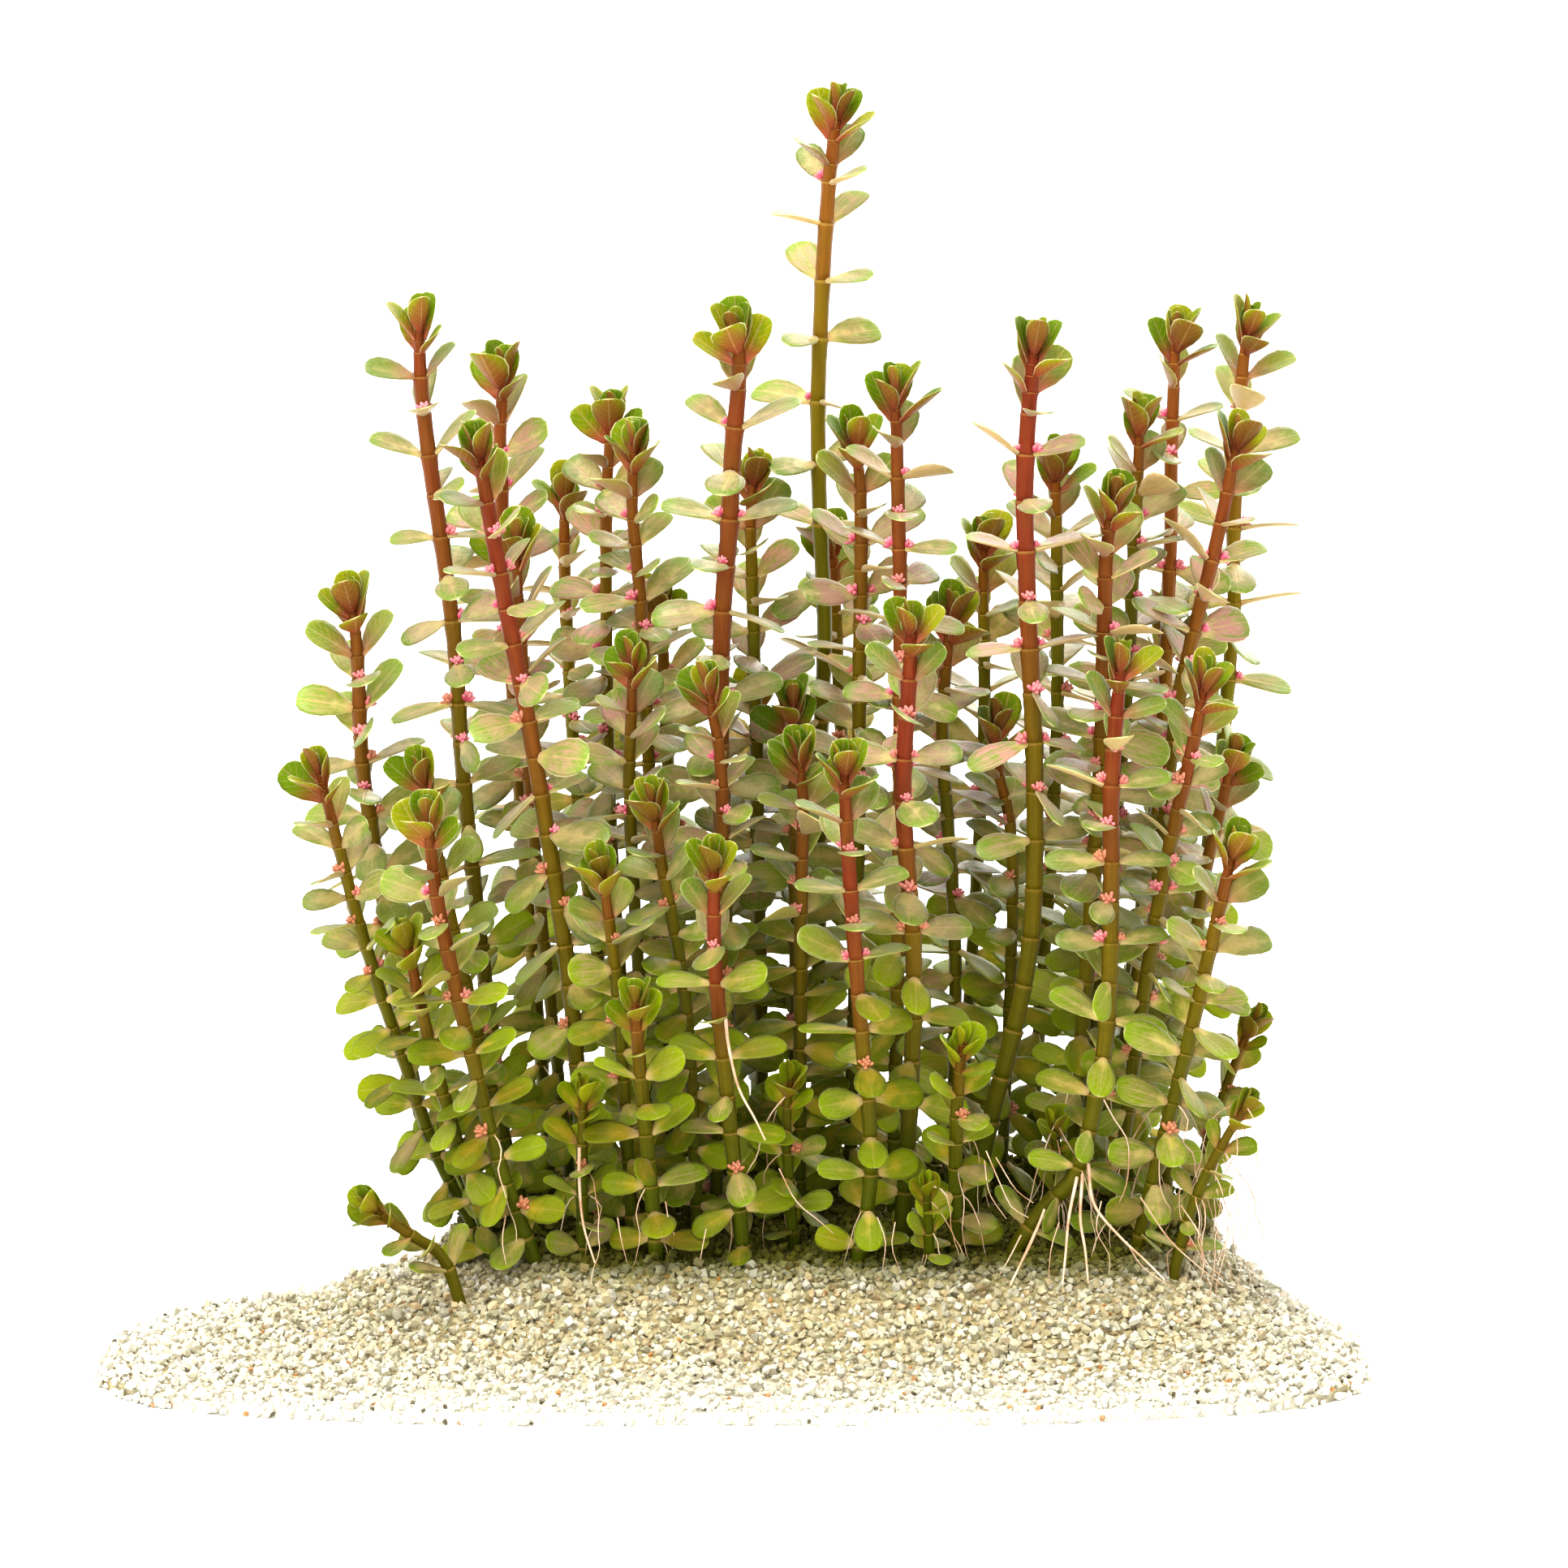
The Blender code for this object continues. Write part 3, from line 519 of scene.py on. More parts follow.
def pick(item, indices):
    """In edit mode, selects these vertices and no others."""
    bpy.ops.mesh.select_all(action="DESELECT")
    shape = bmesh.from_edit_mesh(item.data)
    shape.verts.ensure_lookup_table()
    for index in indices:
        shape.verts[index].select = True
    shape.select_flush_mode()
    bmesh.update_edit_mesh(item.data)


def sections_along(item, axis):
    """The vertex numbers of each cross-section, in their order along an axis."""
    found = {}
    for vert in item.data.vertices:
        found.setdefault(round(vert.co[axis], 4), []).append(vert.index)
    return [found[place] for place in sorted(found)]


def finish_edit():
    """Turns all faces outward and closes the shape."""
    bpy.ops.mesh.select_all(action="SELECT")
    bpy.ops.mesh.normals_make_consistent(inside=False)
    bpy.ops.object.mode_set(mode="OBJECT")


def declare(piece, replaced=()):
    """Puts a piece under the root body, and hides the solids that it stands for."""
    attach(piece, "root")
    if replaced:
        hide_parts(*replaced)


class Shape:
    """A modelled shape as tables: its points, its faces and the map that its finish reads."""

    def __init__(self, item, corner_map):
        mesh = item.data
        self.points = np.array([vert.co[:] for vert in mesh.vertices])
        self.corners = np.array([index for face in mesh.polygons for index in face.vertices])
        self.sizes = np.array([len(face.vertices) for face in mesh.polygons])
        self.map = np.array([pair for face in mesh.polygons for pair in corner_map(mesh, face)])
        bpy.data.objects.remove(item, do_unlink=True)


def leaf_map(mesh, face):
    """Along the leaf, counted further on its underside, and across it from 0 to 1."""
    below = UNDERSIDE if face.normal.z < 0 else 0.0
    pairs = []
    for index in face.vertices:
        point = mesh.vertices[index].co
        half = np.interp(point.x, [row[0] for row in LEAF_SECTIONS], [row[1] for row in LEAF_SECTIONS])
        across = point.y / (half * LEAF_WIDTH / 2)
        pairs.append((point.x + below, 0.5 + 0.5 * max(-1.0, min(1.0, across))))
    return pairs


def round_map(mesh, face):
    """Around the shape, from 0 to 1, and its height."""
    middle = math.atan2(face.center.y, face.center.x)
    pairs = []
    for index in face.vertices:
        point = mesh.vertices[index].co
        turn = math.atan2(point.y, point.x)
        turn += 2 * math.pi * round((middle - turn) / (2 * math.pi))
        pairs.append((turn / (2 * math.pi) + 1.0, point.z))
    return pairs


def model_leaf(name, cup, curl):
    """One leaf, a unit long, pointing along +X with its upper face up."""
    leaf = open_shape(name, bpy.ops.mesh.primitive_uv_sphere_add, "VERT", segments=LEAF_SIDES,
                      ring_count=len(LEAF_SECTIONS) + 1, radius=1.0, rotation=(0, math.pi / 2, 0))
    sections = sections_along(leaf, 0)
    starts = [leaf.data.vertices[section[0]].co.x for section in sections]
    sides = {vert.index: vert.co.y for vert in leaf.data.vertices}
    rows = [(0.0, 0.0, 0.0, 0.0), *LEAF_SECTIONS, (1.0, 0.0, 0.0, 0.0)]
    for section, start, (along, half, thick, hollow) in zip(sections, starts, rows):
        reach = math.sqrt(max(1e-9, 1.0 - start ** 2))
        pick(leaf, section)
        if len(section) > 1:
            bpy.ops.transform.resize(value=(1, half * LEAF_WIDTH / 2 / reach, thick * LEAF_WIDTH / reach),
                                     center_override=(start, 0, 0))
        bpy.ops.transform.translate(value=(along - start, 0, curl * along ** 2))
        if len(section) == 1:
            continue
        for least, most, share in HOLLOW_STEPS:
            pick(leaf, [index for index in section if least < abs(sides[index]) / reach < most])
            bpy.ops.transform.translate(value=(0, 0, cup * hollow * share * half * LEAF_WIDTH / 2))
    finish_edit()
    return Shape(leaf, leaf_map)


def model_section(name):
    """A stem's section between two leaf pairs, a unit long and wide, with its upper pair along X."""
    section = open_shape(name, bpy.ops.mesh.primitive_circle_add, "FACE", vertices=STEM_SIDES,
                         radius=SECTION_FOOT, fill_type="NGON")
    height = 0.0
    leaf_reach = SECTION_FOOT
    side_reach = SECTION_FOOT
    for place, toward_leaf, toward_side in SECTION_RINGS:
        bpy.ops.mesh.extrude_region_move(TRANSFORM_OT_translate={"value": (0, 0, place - height)})
        bpy.ops.transform.resize(value=(toward_leaf / leaf_reach, toward_side / side_reach, 1),
                                 center_override=(0, 0, place))
        height = place
        leaf_reach = toward_leaf
        side_reach = toward_side
    finish_edit()
    return Shape(section, round_map)


def model_bud(name):
    """A cluster of pointed scales, standing on the origin."""
    scales = []
    for tilt, turn in BUD_SCALES:
        scale = open_shape(name, bpy.ops.mesh.primitive_uv_sphere_add, "VERT", segments=BUD_SIDES,
                           ring_count=BUD_RINGS, radius=BUD_WIDTH)
        bpy.ops.transform.translate(value=(0, 0, BUD_WIDTH))
        bpy.ops.transform.resize(value=(1, 1, BUD_LENGTH / (2 * BUD_WIDTH)), center_override=(0, 0, 0))
        finish_edit()
        scale.rotation_euler = (0, math.radians(tilt), math.radians(turn))
        scales.append(scale)
    clear_selection()
    for scale in scales:
        scale.select_set(True)
    bpy.context.view_layer.objects.active = scales[0]
    bpy.ops.object.transform_apply(location=True, rotation=True, scale=True)
    bpy.ops.object.join()
    return Shape(bpy.context.object, round_map)


class Growth:
    """A piece that grows as copies of modelled shapes are added to it."""

    def __init__(self):
        self.count = 0
        self.points = []
        self.corners = []
        self.sizes = []
        self.map = []
        self.tone = []
        self.finishes = []

    def add(self, shape, points, tone, finish):
        self.points.append(points)
        self.corners.append(shape.corners + self.count)
        self.sizes.append(shape.sizes)
        self.map.append(shape.map)
        self.tone.append(np.tile(tone, (len(shape.corners), 1)))
        self.finishes.append(np.full(len(shape.sizes), finish))
        self.count += len(points)

    def make(self, name, materials, slot, replaced=(), smooth=True):
        """The piece as one mesh, with its maps: the shape's own, two tones, and two for where it grows."""
        mesh = bpy.data.meshes.new(name)
        corners = np.concatenate(self.corners)
        sizes = np.concatenate(self.sizes)
        mesh.vertices.add(self.count)
        mesh.vertices.foreach_set("co", np.concatenate(self.points).astype(np.float32).ravel())
        mesh.loops.add(len(corners))
        mesh.loops.foreach_set("vertex_index", corners.astype(np.int32))
        mesh.polygons.add(len(sizes))
        mesh.polygons.foreach_set("loop_start", (np.cumsum(sizes) - sizes).astype(np.int32))
        mesh.polygons.foreach_set("material_index", np.concatenate(self.finishes).astype(np.int32))
        mesh.polygons.foreach_set("use_smooth", np.full(len(sizes), smooth))
        tones = np.concatenate(self.tone)
        maps = {"shape": np.concatenate(self.map), "tone": tones[:, :2], "zone": tones[:, 2:]}
        for title, values in maps.items():
            mesh.uv_layers.new(name=title).data.foreach_set("uv", values.astype(np.float32).ravel())
        mesh.update(calc_edges=True)
        mesh.validate()
        for material in materials:
            mesh.materials.append(material)
        piece = bpy.data.objects.new(name, mesh)
        bpy.context.scene.collection.objects.link(piece)
        declare(piece, replaced)


# Planting: where the leaf pairs of each shoot sit, and how each leaf lies.


def by_distance(table, from_tip):
    """A table's value at a distance below the tip."""
    return float(np.interp(from_tip / MM, [row[0] for row in table], [row[1] for row in table]))


def pair_places(stem, number, chance):
    """How far below the tip each of a shoot's leaf pairs sits."""
    internode = LONGER_INTERNODES.get(number, INTERNODE)
    places = list(OWN_ROSETTES.get(number, ROSETTE_PAIRS))
    places.extend(OWN_PLACES.get(number, (places[-1] + internode * FIRST_STEP_SHARE,)))
    while places[-1] < stem.total:
        step = internode * np.interp(stem.at(places[-1]).z, LOW_STEP_HEIGHTS, (LOW_STEP_SHARE, 1.0))
        places.append(places[-1] + step * (1 + chance.uniform(-STEP_SCATTER, STEP_SCATTER)))
    lowest = stem.total - stem.buried - LOWEST_LEAF
    return [place for place in places if place < lowest]


def leaf_axes(stem, from_tip, turn, lift, roll):
    """A leaf's direction outward, across and out of its upper face."""
    along, outward, across = stem.frame(from_tip, turn)
    direction = outward * math.cos(lift) + along * math.sin(lift)
    upper = direction.cross(across)
    tilted = across * math.cos(roll) + upper * math.sin(roll)
    return direction, tilted, direction.cross(tilted), outward


class Leaf:
    """One leaf's place on its stem, as it is tried and kept."""

    def __init__(self, stem, from_tip, turn, lift, roll, length, breadth):
        self.from_tip = from_tip
        self.turn = turn
        direction, across, upper, outward = leaf_axes(stem, from_tip, turn, lift, roll)
        self.axes = np.array([direction, across, upper])
        self.base = np.array(stem.at(from_tip) + outward * stem.reach(from_tip) * LEAF_FOOT)
        self.stretch = np.array([1.0, by_distance(BREADTHS, from_tip) * breadth, 1.0]) * length

    def spread(self, points):
        """Points of the unit leaf, brought to this leaf's size and place."""
        return self.base + (points * self.stretch) @ self.axes

    def samples(self):
        """The places on the leaf that have to stay clear of its neighbours."""
        return self.spread(np.array([(place, side * LEAF_WIDTH / 2, 0.0) for place, side in TESTED_PLACES]))


def room_for(samples, stem_points, leaf_points):
    """How much more room there is than a leaf needs; below zero it is in its neighbours' way."""
    room = 1.0
    if len(stem_points):
        gaps = samples[:, None, :] - stem_points[None, :, :]
        room = min(room, float(np.sqrt((gaps ** 2).sum(axis=2).min())) - STEM_ROOM)
    if len(leaf_points):
        gaps = samples[:, None, :] - leaf_points[None, :, :]
        gaps[:, :, 2] *= FLATNESS
        room = min(room, float(np.sqrt((gaps ** 2).sum(axis=2).min())) - LEAF_ROOM)
    return room


def light_turns(stem, from_tip, turn, middle):
    """How much more a leaf droops and rolls (degrees), so that its face turns to the front and outward."""
    _, outward, across = stem.frame(from_tip, turn)
    away = Vector((middle[0] - PLANTED_CENTRE[0], middle[1] - PLANTED_CENTRE[1], 0.0)).normalized()
    light = (Vector((0.0, -1.0, 0.0)) + away * OUTWARD_SHARE).normalized()
    low = LOW_TURN * np.interp(middle[2], LOW_HEIGHTS, (1.0, 0.0))
    low *= np.interp(from_tip / MM, LOW_TURN_FROM, (0.0, 1.0))
    droop = by_distance(DROOPS, from_tip) + low
    roll = by_distance(ROLLS, from_tip) + low
    rise = np.interp(middle[2] - SAND_TOP, SAND_LIFT_HEIGHTS, (SAND_LIFT, 0.0))
    return rise - droop * light.dot(outward), -roll * light.dot(across)


def near_stems(stems):
    """For each stem, the places in the list of those that stand close to it."""
    neighbours = []
    for stem in stems:
        near = []
        for index, other in enumerate(stems):
            gaps = np.linalg.norm(stem.table[:, None, :2] - other.table[None, :, :2], axis=2)
            if other is not stem and gaps.min() < NEIGHBOUR_REACH:
                near.append(index)
        neighbours.append(near)
    return neighbours


def within_reach(tables, middle):
    """The points of the tables that a leaf which grows at the middle can meet."""
    points = np.vstack([*tables, np.zeros((0, 3))])
    return points[np.linalg.norm(points - middle, axis=1) < LEAF_REACH]


def vigour_of(stem, number, middle):
    """How large a shoot's leaves are at a place, as a share of the usual size."""
    vigour = (stem.radius * 2 / FULL_STEM) ** VIGOUR_POWER * LEAF_SIZES.get(number, 1.0)
    vigour *= np.interp(middle[2], LOW_HEIGHTS, (LOW_SIZE_SHARE, 1.0))
    return vigour * np.interp(stem.foot.y / MM, *FRONT_SIZES)


def roomiest(leaves, stem_points, leaf_points):
    """The first leaf that stands free, or else the one with the most room, and how much room it has."""
    best = None
    best_room = -math.inf
    for leaf in leaves:
        samples = leaf.samples()
        room = room_for(samples, stem_points, leaf_points)
        if samples[:, 2].min() < SAND_TOP + GAP:
            room = min(room, IN_SAND)
        if room > best_room:
            best = leaf
            best_room = room
        if room >= 0:
            break
    return best, best_room


def pair_leaves(stem, number, level, from_tip, breadth, chance):
    """For each leaf of a pair that the shoot still has, the ways of lying that it tries, one by one."""
    middle = np.array(stem.at(from_tip))
    vigour = vigour_of(stem, number, middle)
    settled = np.interp(from_tip / MM, *SCATTER_GROWTH)
    bare = from_tip / MM > BARE_BELOW.get(number, math.inf)
    for half in range(2):
        turn = level * math.pi / 2 + half * math.pi + math.radians(chance.normal(0, TURN_SCATTER))
        droop, roll = light_turns(stem, from_tip, turn, middle)
        lift = by_distance(LIFTS, from_tip) + droop + settled * chance.normal(0, LIFT_SCATTER)
        roll = math.radians(roll + settled * chance.normal(0, ROLL_SCATTER))
        length = by_distance(LENGTHS, from_tip) * MM * vigour * (1 + chance.normal(0, SIZE_SCATTER))
        if chance.uniform() < bare * BARE_SHARE:
            continue
        tries = TRIES if level >= SURE_PAIRS else TRIES[:1]
        yield (Leaf(stem, from_tip, turn + math.radians(extra_turn), math.radians(lift + extra_lift), roll,
                    length * share, breadth) for extra_turn, extra_lift, share in tries)


def plan_leaves(stems):
    """All leaves of all shoots, from the tips down, turned or shortened to keep clear of their neighbours."""
    chances = [np.random.RandomState(LEAF_SEED + number) for number in range(len(stems))]
    places = [pair_places(stem, number + 1, chances[number]) for number, stem in enumerate(stems)]
    breadths = [chance.uniform(*SHOOT_BREADTHS) for chance in chances]
    for number in NARROW_LEAVED:
        breadths[number - 1] = NARROW_BREADTH
    neighbours = near_stems(stems)
    kept = [[] for _ in stems]
    occupied = [np.zeros((0, 3)) for _ in stems]
    for level in range(max(len(found) for found in places)):
        for index, stem in enumerate(stems):
            if level >= len(places[index]):
                continue
            from_tip = places[index][level]
            middle = np.array(stem.at(from_tip))
            stem_points = within_reach([stems[other].table for other in neighbours[index]], middle)
            leaf_points = within_reach([occupied[other] for other in neighbours[index]], middle)
            tried = pair_leaves(stem, index + 1, level, from_tip, breadths[index], chances[index])
            for leaves in tried:
                best, room = roomiest(leaves, stem_points, leaf_points)
                if room > SHED_BELOW or level < SURE_PAIRS:
                    kept[index].append(best)
                    occupied[index] = np.vstack([occupied[index], best.samples()])
    return places, kept


def leaf_points_of(leaf, forms, chance):
    """A leaf's own points: a form between two modelled ones, by its age."""
    place = np.interp(leaf.from_tip / MM, FORM_PLACES, range(len(FORM_PLACES)))
    place = min(LAST_FORM, max(0.0, place + chance.normal(0, FORM_SCATTER)))
    first, second = [forms[name].points for name in LEAF_FORMS][int(place):int(place) + 2]
    return first + (second - first) * (place - int(place))


def section_points(shape, stem, low, high, turn):
    """A stem section's points, bent along the stem from one leaf pair up to the next."""
    points = np.empty_like(shape.points)
    heights = np.round(shape.points[:, 2], 4)
    for height in np.unique(heights):
        rows = heights == height
        from_tip = low + (high - low) * height
        _, first, second = stem.frame(max(from_tip, SAMPLE_STEP), turn)
        across = shape.points[rows, :2] * stem.reach(from_tip)
        points[rows] = np.array(stem.at(from_tip)) + across @ np.array([first, second])
    return points


def add_bud(growth, shape, stem, leaf, lushness, chance):
    """A cluster of buds in a leaf's corner."""
    along, outward, across = stem.frame(leaf.from_tip, leaf.turn)
    base = stem.at(leaf.from_tip) + outward * stem.reach(leaf.from_tip) * BUD_FOOT + along * BUD_RISE
    lean = math.radians(chance.uniform(*BUD_LEANS))
    up = along * math.cos(lean) + outward * math.sin(lean)
    axes = np.array([across, up.cross(across), up]) * chance.uniform(*BUD_SIZES)
    tone = (chance.uniform(), min(1.0, leaf.from_tip / LEAF_AGE), lushness, 0.0)
    growth.add(shape, np.array(base) + shape.points @ axes, tone, BUD_FINISH)


def make_shoot(number, stem, places, leaves, shapes, materials):
    """A shoot: its stem sections, its leaves and the buds in their corners."""
    chance = np.random.RandomState(SHOOT_SEED + number)
    growth = Growth()
    redness = REDNESS[number - 1]
    lushness = LUSHNESS.get(number, 1.0)
    blush_and_sheen = chance.uniform(*SHOOT_BLUSH_AND_SHEEN)
    levels = [stem.total, *reversed(places)]
    for index, (low, high) in enumerate(zip(levels, levels[1:]), start=1):
        turn = (len(places) - index) * math.pi / 2
        points = section_points(shapes["section"], stem, low, high, turn)
        ripeness = min(1.0, high / MM / (2 * OLIVE_FROM[number - 1]))
        tone = (redness, ripeness, lushness, min(1.0, high / STEM_AGE))
        growth.add(shapes["section"], points, tone, STEM_FINISH)
    for leaf in leaves:
        luck = chance.uniform()
        tone = (luck, min(1.0, leaf.from_tip / LEAF_AGE), lushness, blush_and_sheen * chance.uniform(*LEAF_BLUSH_AND_SHEEN))
        points = leaf.spread(leaf_points_of(leaf, shapes, chance))
        soft = leaf.from_tip < YOUNG_REACH or leaf.base[2] < LUSH_HEIGHT
        growth.add(shapes["spread"], points, tone, SOFT_FINISH if soft else LEAF_FINISH)
        late = leaf.from_tip > LAST_BUD or leaf.base[2] < LUSH_HEIGHT
        bud_share = (BUD_SHARE + BUD_REDNESS * redness) * (LATE_BUD_SHARE if late else 1.0)
        if leaf.from_tip >= FIRST_BUD and chance.uniform() <= bud_share:
            add_bud(growth, shapes["bud"], stem, leaf, lushness, chance)
    growth.make(f"rotala_shoot_{number:02d}", materials, "shoot", (f"shoot_{number:02d}",))


# Roots: tapering tubes drawn along curves.


def draw_root(name, lines, material, replaced=()):
    """Tubes along lines of points, each with its thickness at its start and end, as one mesh."""
    curve = bpy.data.curves.new(name, "CURVE")
    curve.dimensions = "3D"
    curve.bevel_depth = 1.0
    curve.bevel_resolution = 1
    curve.use_fill_caps = True
    for points, start, end in lines:
        spline = curve.splines.new("POLY")
        spline.points.add(len(points) - 1)
        for index, point in enumerate(points):
            spline.points[index].co = (*point, 1.0)
            spline.points[index].radius = (start + (end - start) * index / (len(points) - 1)) / 2
    item = bpy.data.objects.new(name, curve)
    bpy.context.scene.collection.objects.link(item)
    clear_selection()
    item.select_set(True)
    bpy.context.view_layer.objects.active = item
    bpy.ops.object.convert(target="MESH")
    root = bpy.context.object
    root.data.materials.clear()
    root.data.materials.append(material)
    root.data.polygons.foreach_set("use_smooth", np.full(len(root.data.polygons), True))
    declare(root, replaced)


def root_line(row):
    """An aerial root's centre line, from its stem outwards."""
    (depth, end_depth), seen = row
    points = []
    for number, (across, height) in enumerate(seen):
        share = number / (len(seen) - 1)
        points.append(placed(across * MM, height * MM, (depth + (end_depth - depth) * share) * MM))
    return smooth_line(points, ROOT_STEP)


def hair_line(start, heading, length, chance):
    """A thin root that falls from its start in a loose curve."""
    points = [start]
    direction = heading.normalized()
    for _ in range(HAIR_POINTS):
        pull = Vector((chance.normal(0, HAIR_WANDER), chance.normal(0, HAIR_WANDER), HAIR_FALL))
        direction = (direction + pull).normalized()
        points.append(points[-1] + direction * length / HAIR_POINTS)
        if points[-1].z < ground_height(points[-1].x, points[-1].y) - HAIR_DEPTH:
            break
    return smooth_line(points, HAIR_STEP) if len(points) > 2 else points


def make_hairs(stems, plans, material):
    """Fine roots from the lowest leaf pairs, most of them at the right front."""
    chance = np.random.RandomState(HAIR_SEED)
    lines = []
    for number, stem in enumerate(stems, start=1):
        richness = HAIR_RICHNESS.get(number, HAIR_USUAL)
        low_places = [place for place in plans[number - 1] if stem.at(place).z < HAIR_ZONE]
        for place in low_places:
            for _ in range(chance.poisson(richness)):
                turn = chance.uniform(0, 2 * math.pi)
                _, outward, _ = stem.frame(place, turn)
                start = stem.at(place) + outward * stem.radius * HAIR_FOOT
                length = (start.z - SAND_TOP) * chance.uniform(*HAIR_LENGTHS) + HAIR_SPARE
                thickness = chance.uniform(*HAIR_THICKNESS)
                line = hair_line(start, outward + Vector((0, 0, HAIR_DIP)), length, chance)
                lines.append((line, thickness, thickness * HAIR_TAPER))
    for depth, thickness, seen in HAIRS:
        points = [placed(across * MM, height * MM, depth * MM) for across, height in seen]
        lines.append((smooth_line(points, HAIR_STEP), thickness * MM, thickness * MM * HAIR_TAPER))
    draw_root("hair_roots", lines, material)


# The sand: a mound in the solid's form, and the grains that lie on it.


def rim_tables():
    """The rim's direction from the planted middle's centre and its reach, round a smooth closed line."""
    corners = [Vector((x * SAND_LENGTH - PLANTED_CENTRE[0], y * SAND_DEPTH - PLANTED_CENTRE[1]))
               for x, y in SAND_OUTLINE]
    rim = []
    for number, start in enumerate(corners):
        before = corners[number - 1]
        end = corners[(number + 1) % len(corners)]
        after = corners[(number + 2) % len(corners)]
        for step in range(CURVE_PIECES):
            rim.append(curve_point(before, start, end, after, step / CURVE_PIECES))
    rim.append(corners[0])
    table = np.array(rim)
    return np.unwrap(np.arctan2(table[:, 1], table[:, 0])), np.linalg.norm(table, axis=1)


RIM_TURNS, RIM_REACHES = rim_tables()


def rim_reach(angle):
    """How far the rim lies from the planted middle's centre, in a direction."""
    while angle < RIM_TURNS[0]:
        angle += 2 * math.pi
    return float(np.interp(angle, RIM_TURNS, RIM_REACHES))


def rim_share(x, y):
    """How far a place is from the rim (0) towards the planted middle (1 and more); below 0 it is outside."""
    across = x - PLANTED_CENTRE[0]
    deep = y - PLANTED_CENTRE[1]
    angle = math.atan2(deep, across)
    reach = rim_reach(angle)
    inner = 1.0 / math.hypot(math.cos(angle) / PLANTED_HALF[0], math.sin(angle) / PLANTED_HALF[1])
    return (reach - math.hypot(across, deep)) / (reach - inner)


def ground_height(x, y):
    """The height of the mound, with low swells."""
    share = rim_share(x, y)
    if share < 0:
        return 0.0
    height = np.interp(share, [row[0] for row in SLOPE_STEPS], [row[1] for row in SLOPE_STEPS])
    swell = math.sin(x * SWELL_ACROSS[0] + SWELL_ACROSS[1]) * math.sin(y * SWELL_DEEP[0] + SWELL_DEEP[1])
    swell += RIPPLE_SHARE * math.sin(x * RIPPLES[0] + y * RIPPLES[1])
    return float(height) + SAND_SWELL * swell * min(1.0, max(0.0, share * SWELL_FADE))


def model_mound(name, material):
    """The mound's own body, from a grid that is drawn in to the outline and raised."""
    mound = open_shape(name, bpy.ops.mesh.primitive_circle_add, "FACE", vertices=MOUND_POINTS, radius=1.0,
                       fill_type="NGON")
    bpy.ops.mesh.extrude_region_move(TRANSFORM_OT_translate={"value": (0, 0, 1.0)})
    for _ in range(MOUND_RINGS):
        bpy.ops.mesh.inset(thickness=1.0 / (MOUND_RINGS + 1))
    finish_edit()
    for vert in mound.data.vertices:
        x, y = vert.co.xy
        reach = math.hypot(x, y)
        turn = math.atan2(y, x)
        rim = rim_reach(turn) * min(1.0, reach)
        across = PLANTED_CENTRE[0] + rim * math.cos(turn)
        deep = PLANTED_CENTRE[1] + rim * math.sin(turn)
        if vert.co.z < 0.5:
            height = 0.0
        elif reach > RIM_FROM:
            height = SAND_RIM
        else:
            height = ground_height(across * JUST_INSIDE, deep * JUST_INSIDE)
        vert.co = (across, deep, height)
    mound.data.materials.append(material)
    declare(mound, ("sand_bed",))


def model_grain(name, seed, stretch):
    """One angular grain, about a unit across."""
    grain = open_shape(name, bpy.ops.mesh.primitive_uv_sphere_add, "VERT", segments=GRAIN_SIDES,
                       ring_count=GRAIN_RINGS, radius=0.5)
    bpy.ops.transform.vertex_random(offset=GRAIN_UNEVENNESS, seed=seed)
    bpy.ops.transform.resize(value=stretch, center_override=(0, 0, 0))
    finish_edit()
    return Shape(grain, round_map)


def turned(points, chance):
    """The points, turned any way."""
    quaternion = chance.normal(size=4)
    w, x, y, z = quaternion / np.linalg.norm(quaternion)
    turn = np.array([[1 - 2 * (y * y + z * z), 2 * (x * y - z * w), 2 * (x * z + y * w)],
                     [2 * (x * y + z * w), 1 - 2 * (x * x + z * z), 2 * (y * z - x * w)],
                     [2 * (x * z - y * w), 2 * (y * z + x * w), 1 - 2 * (x * x + y * y)]])
    return points @ turn


def lay_grain(pieces, grains, x, y, layer, chance):
    """Lays one grain on the ground, and marks how much painted glare and painted shade it gets there."""
    kind, luck, extra = chance.uniform(size=3)
    size = GRAIN_SIZES[0]
    if kind < DARK_KINDS:
        size += (GRAIN_SIZES[1] - GRAIN_SIZES[0]) * extra ** LARGE_GRAIN_RARITY
    height = max(size * GRAIN_LEAST_LIFT, ground_height(x, y) + size * GRAIN_LIFTS[layer])
    shape = grains[int(kind * GRAIN_MIXING) % len(grains)]
    points = turned(shape.points * size, chance) + np.array([x, y, height])
    points[:, 2] = np.maximum(points[:, 2], 0.0)
    band = min(GRAIN_PIECES - 1, int((y / SAND_DEPTH + 0.5) * GRAIN_PIECES))
    share = rim_share(x, y)
    # Painted glare: grains near the rim are made paler and brighter.
    pale = np.interp(share, GLARE_RIM_SHARES, (1.0, 0.0))
    # Painted shade: grains back from the front and in from the rim, among the stems, are made darker, and the
    # darkest take a dull finish.
    painted_shade = np.interp(y, SHADE_DEPTHS, (0.0, 1.0)) * np.interp(share, SHADE_RIM_SHARES, (0.0, 1.0))
    pieces[max(0, band)].add(shape, points, (kind, luck, pale, painted_shade), int(painted_shade > SHADE_FINISH_SHARE))


def rim_line():
    """Points on the rim, and how far each lies along it."""
    turns = np.linspace(RIM_TURNS[0], RIM_TURNS[-1], RIM_POINTS)
    reach = np.interp(turns, RIM_TURNS, RIM_REACHES)
    across = PLANTED_CENTRE[0] + reach * np.cos(turns)
    deep = PLANTED_CENTRE[1] + reach * np.sin(turns)
    rim = np.stack([across, deep], axis=1)
    return rim, np.concatenate([[0.0], np.cumsum(np.linalg.norm(np.diff(rim, axis=0), axis=1))])


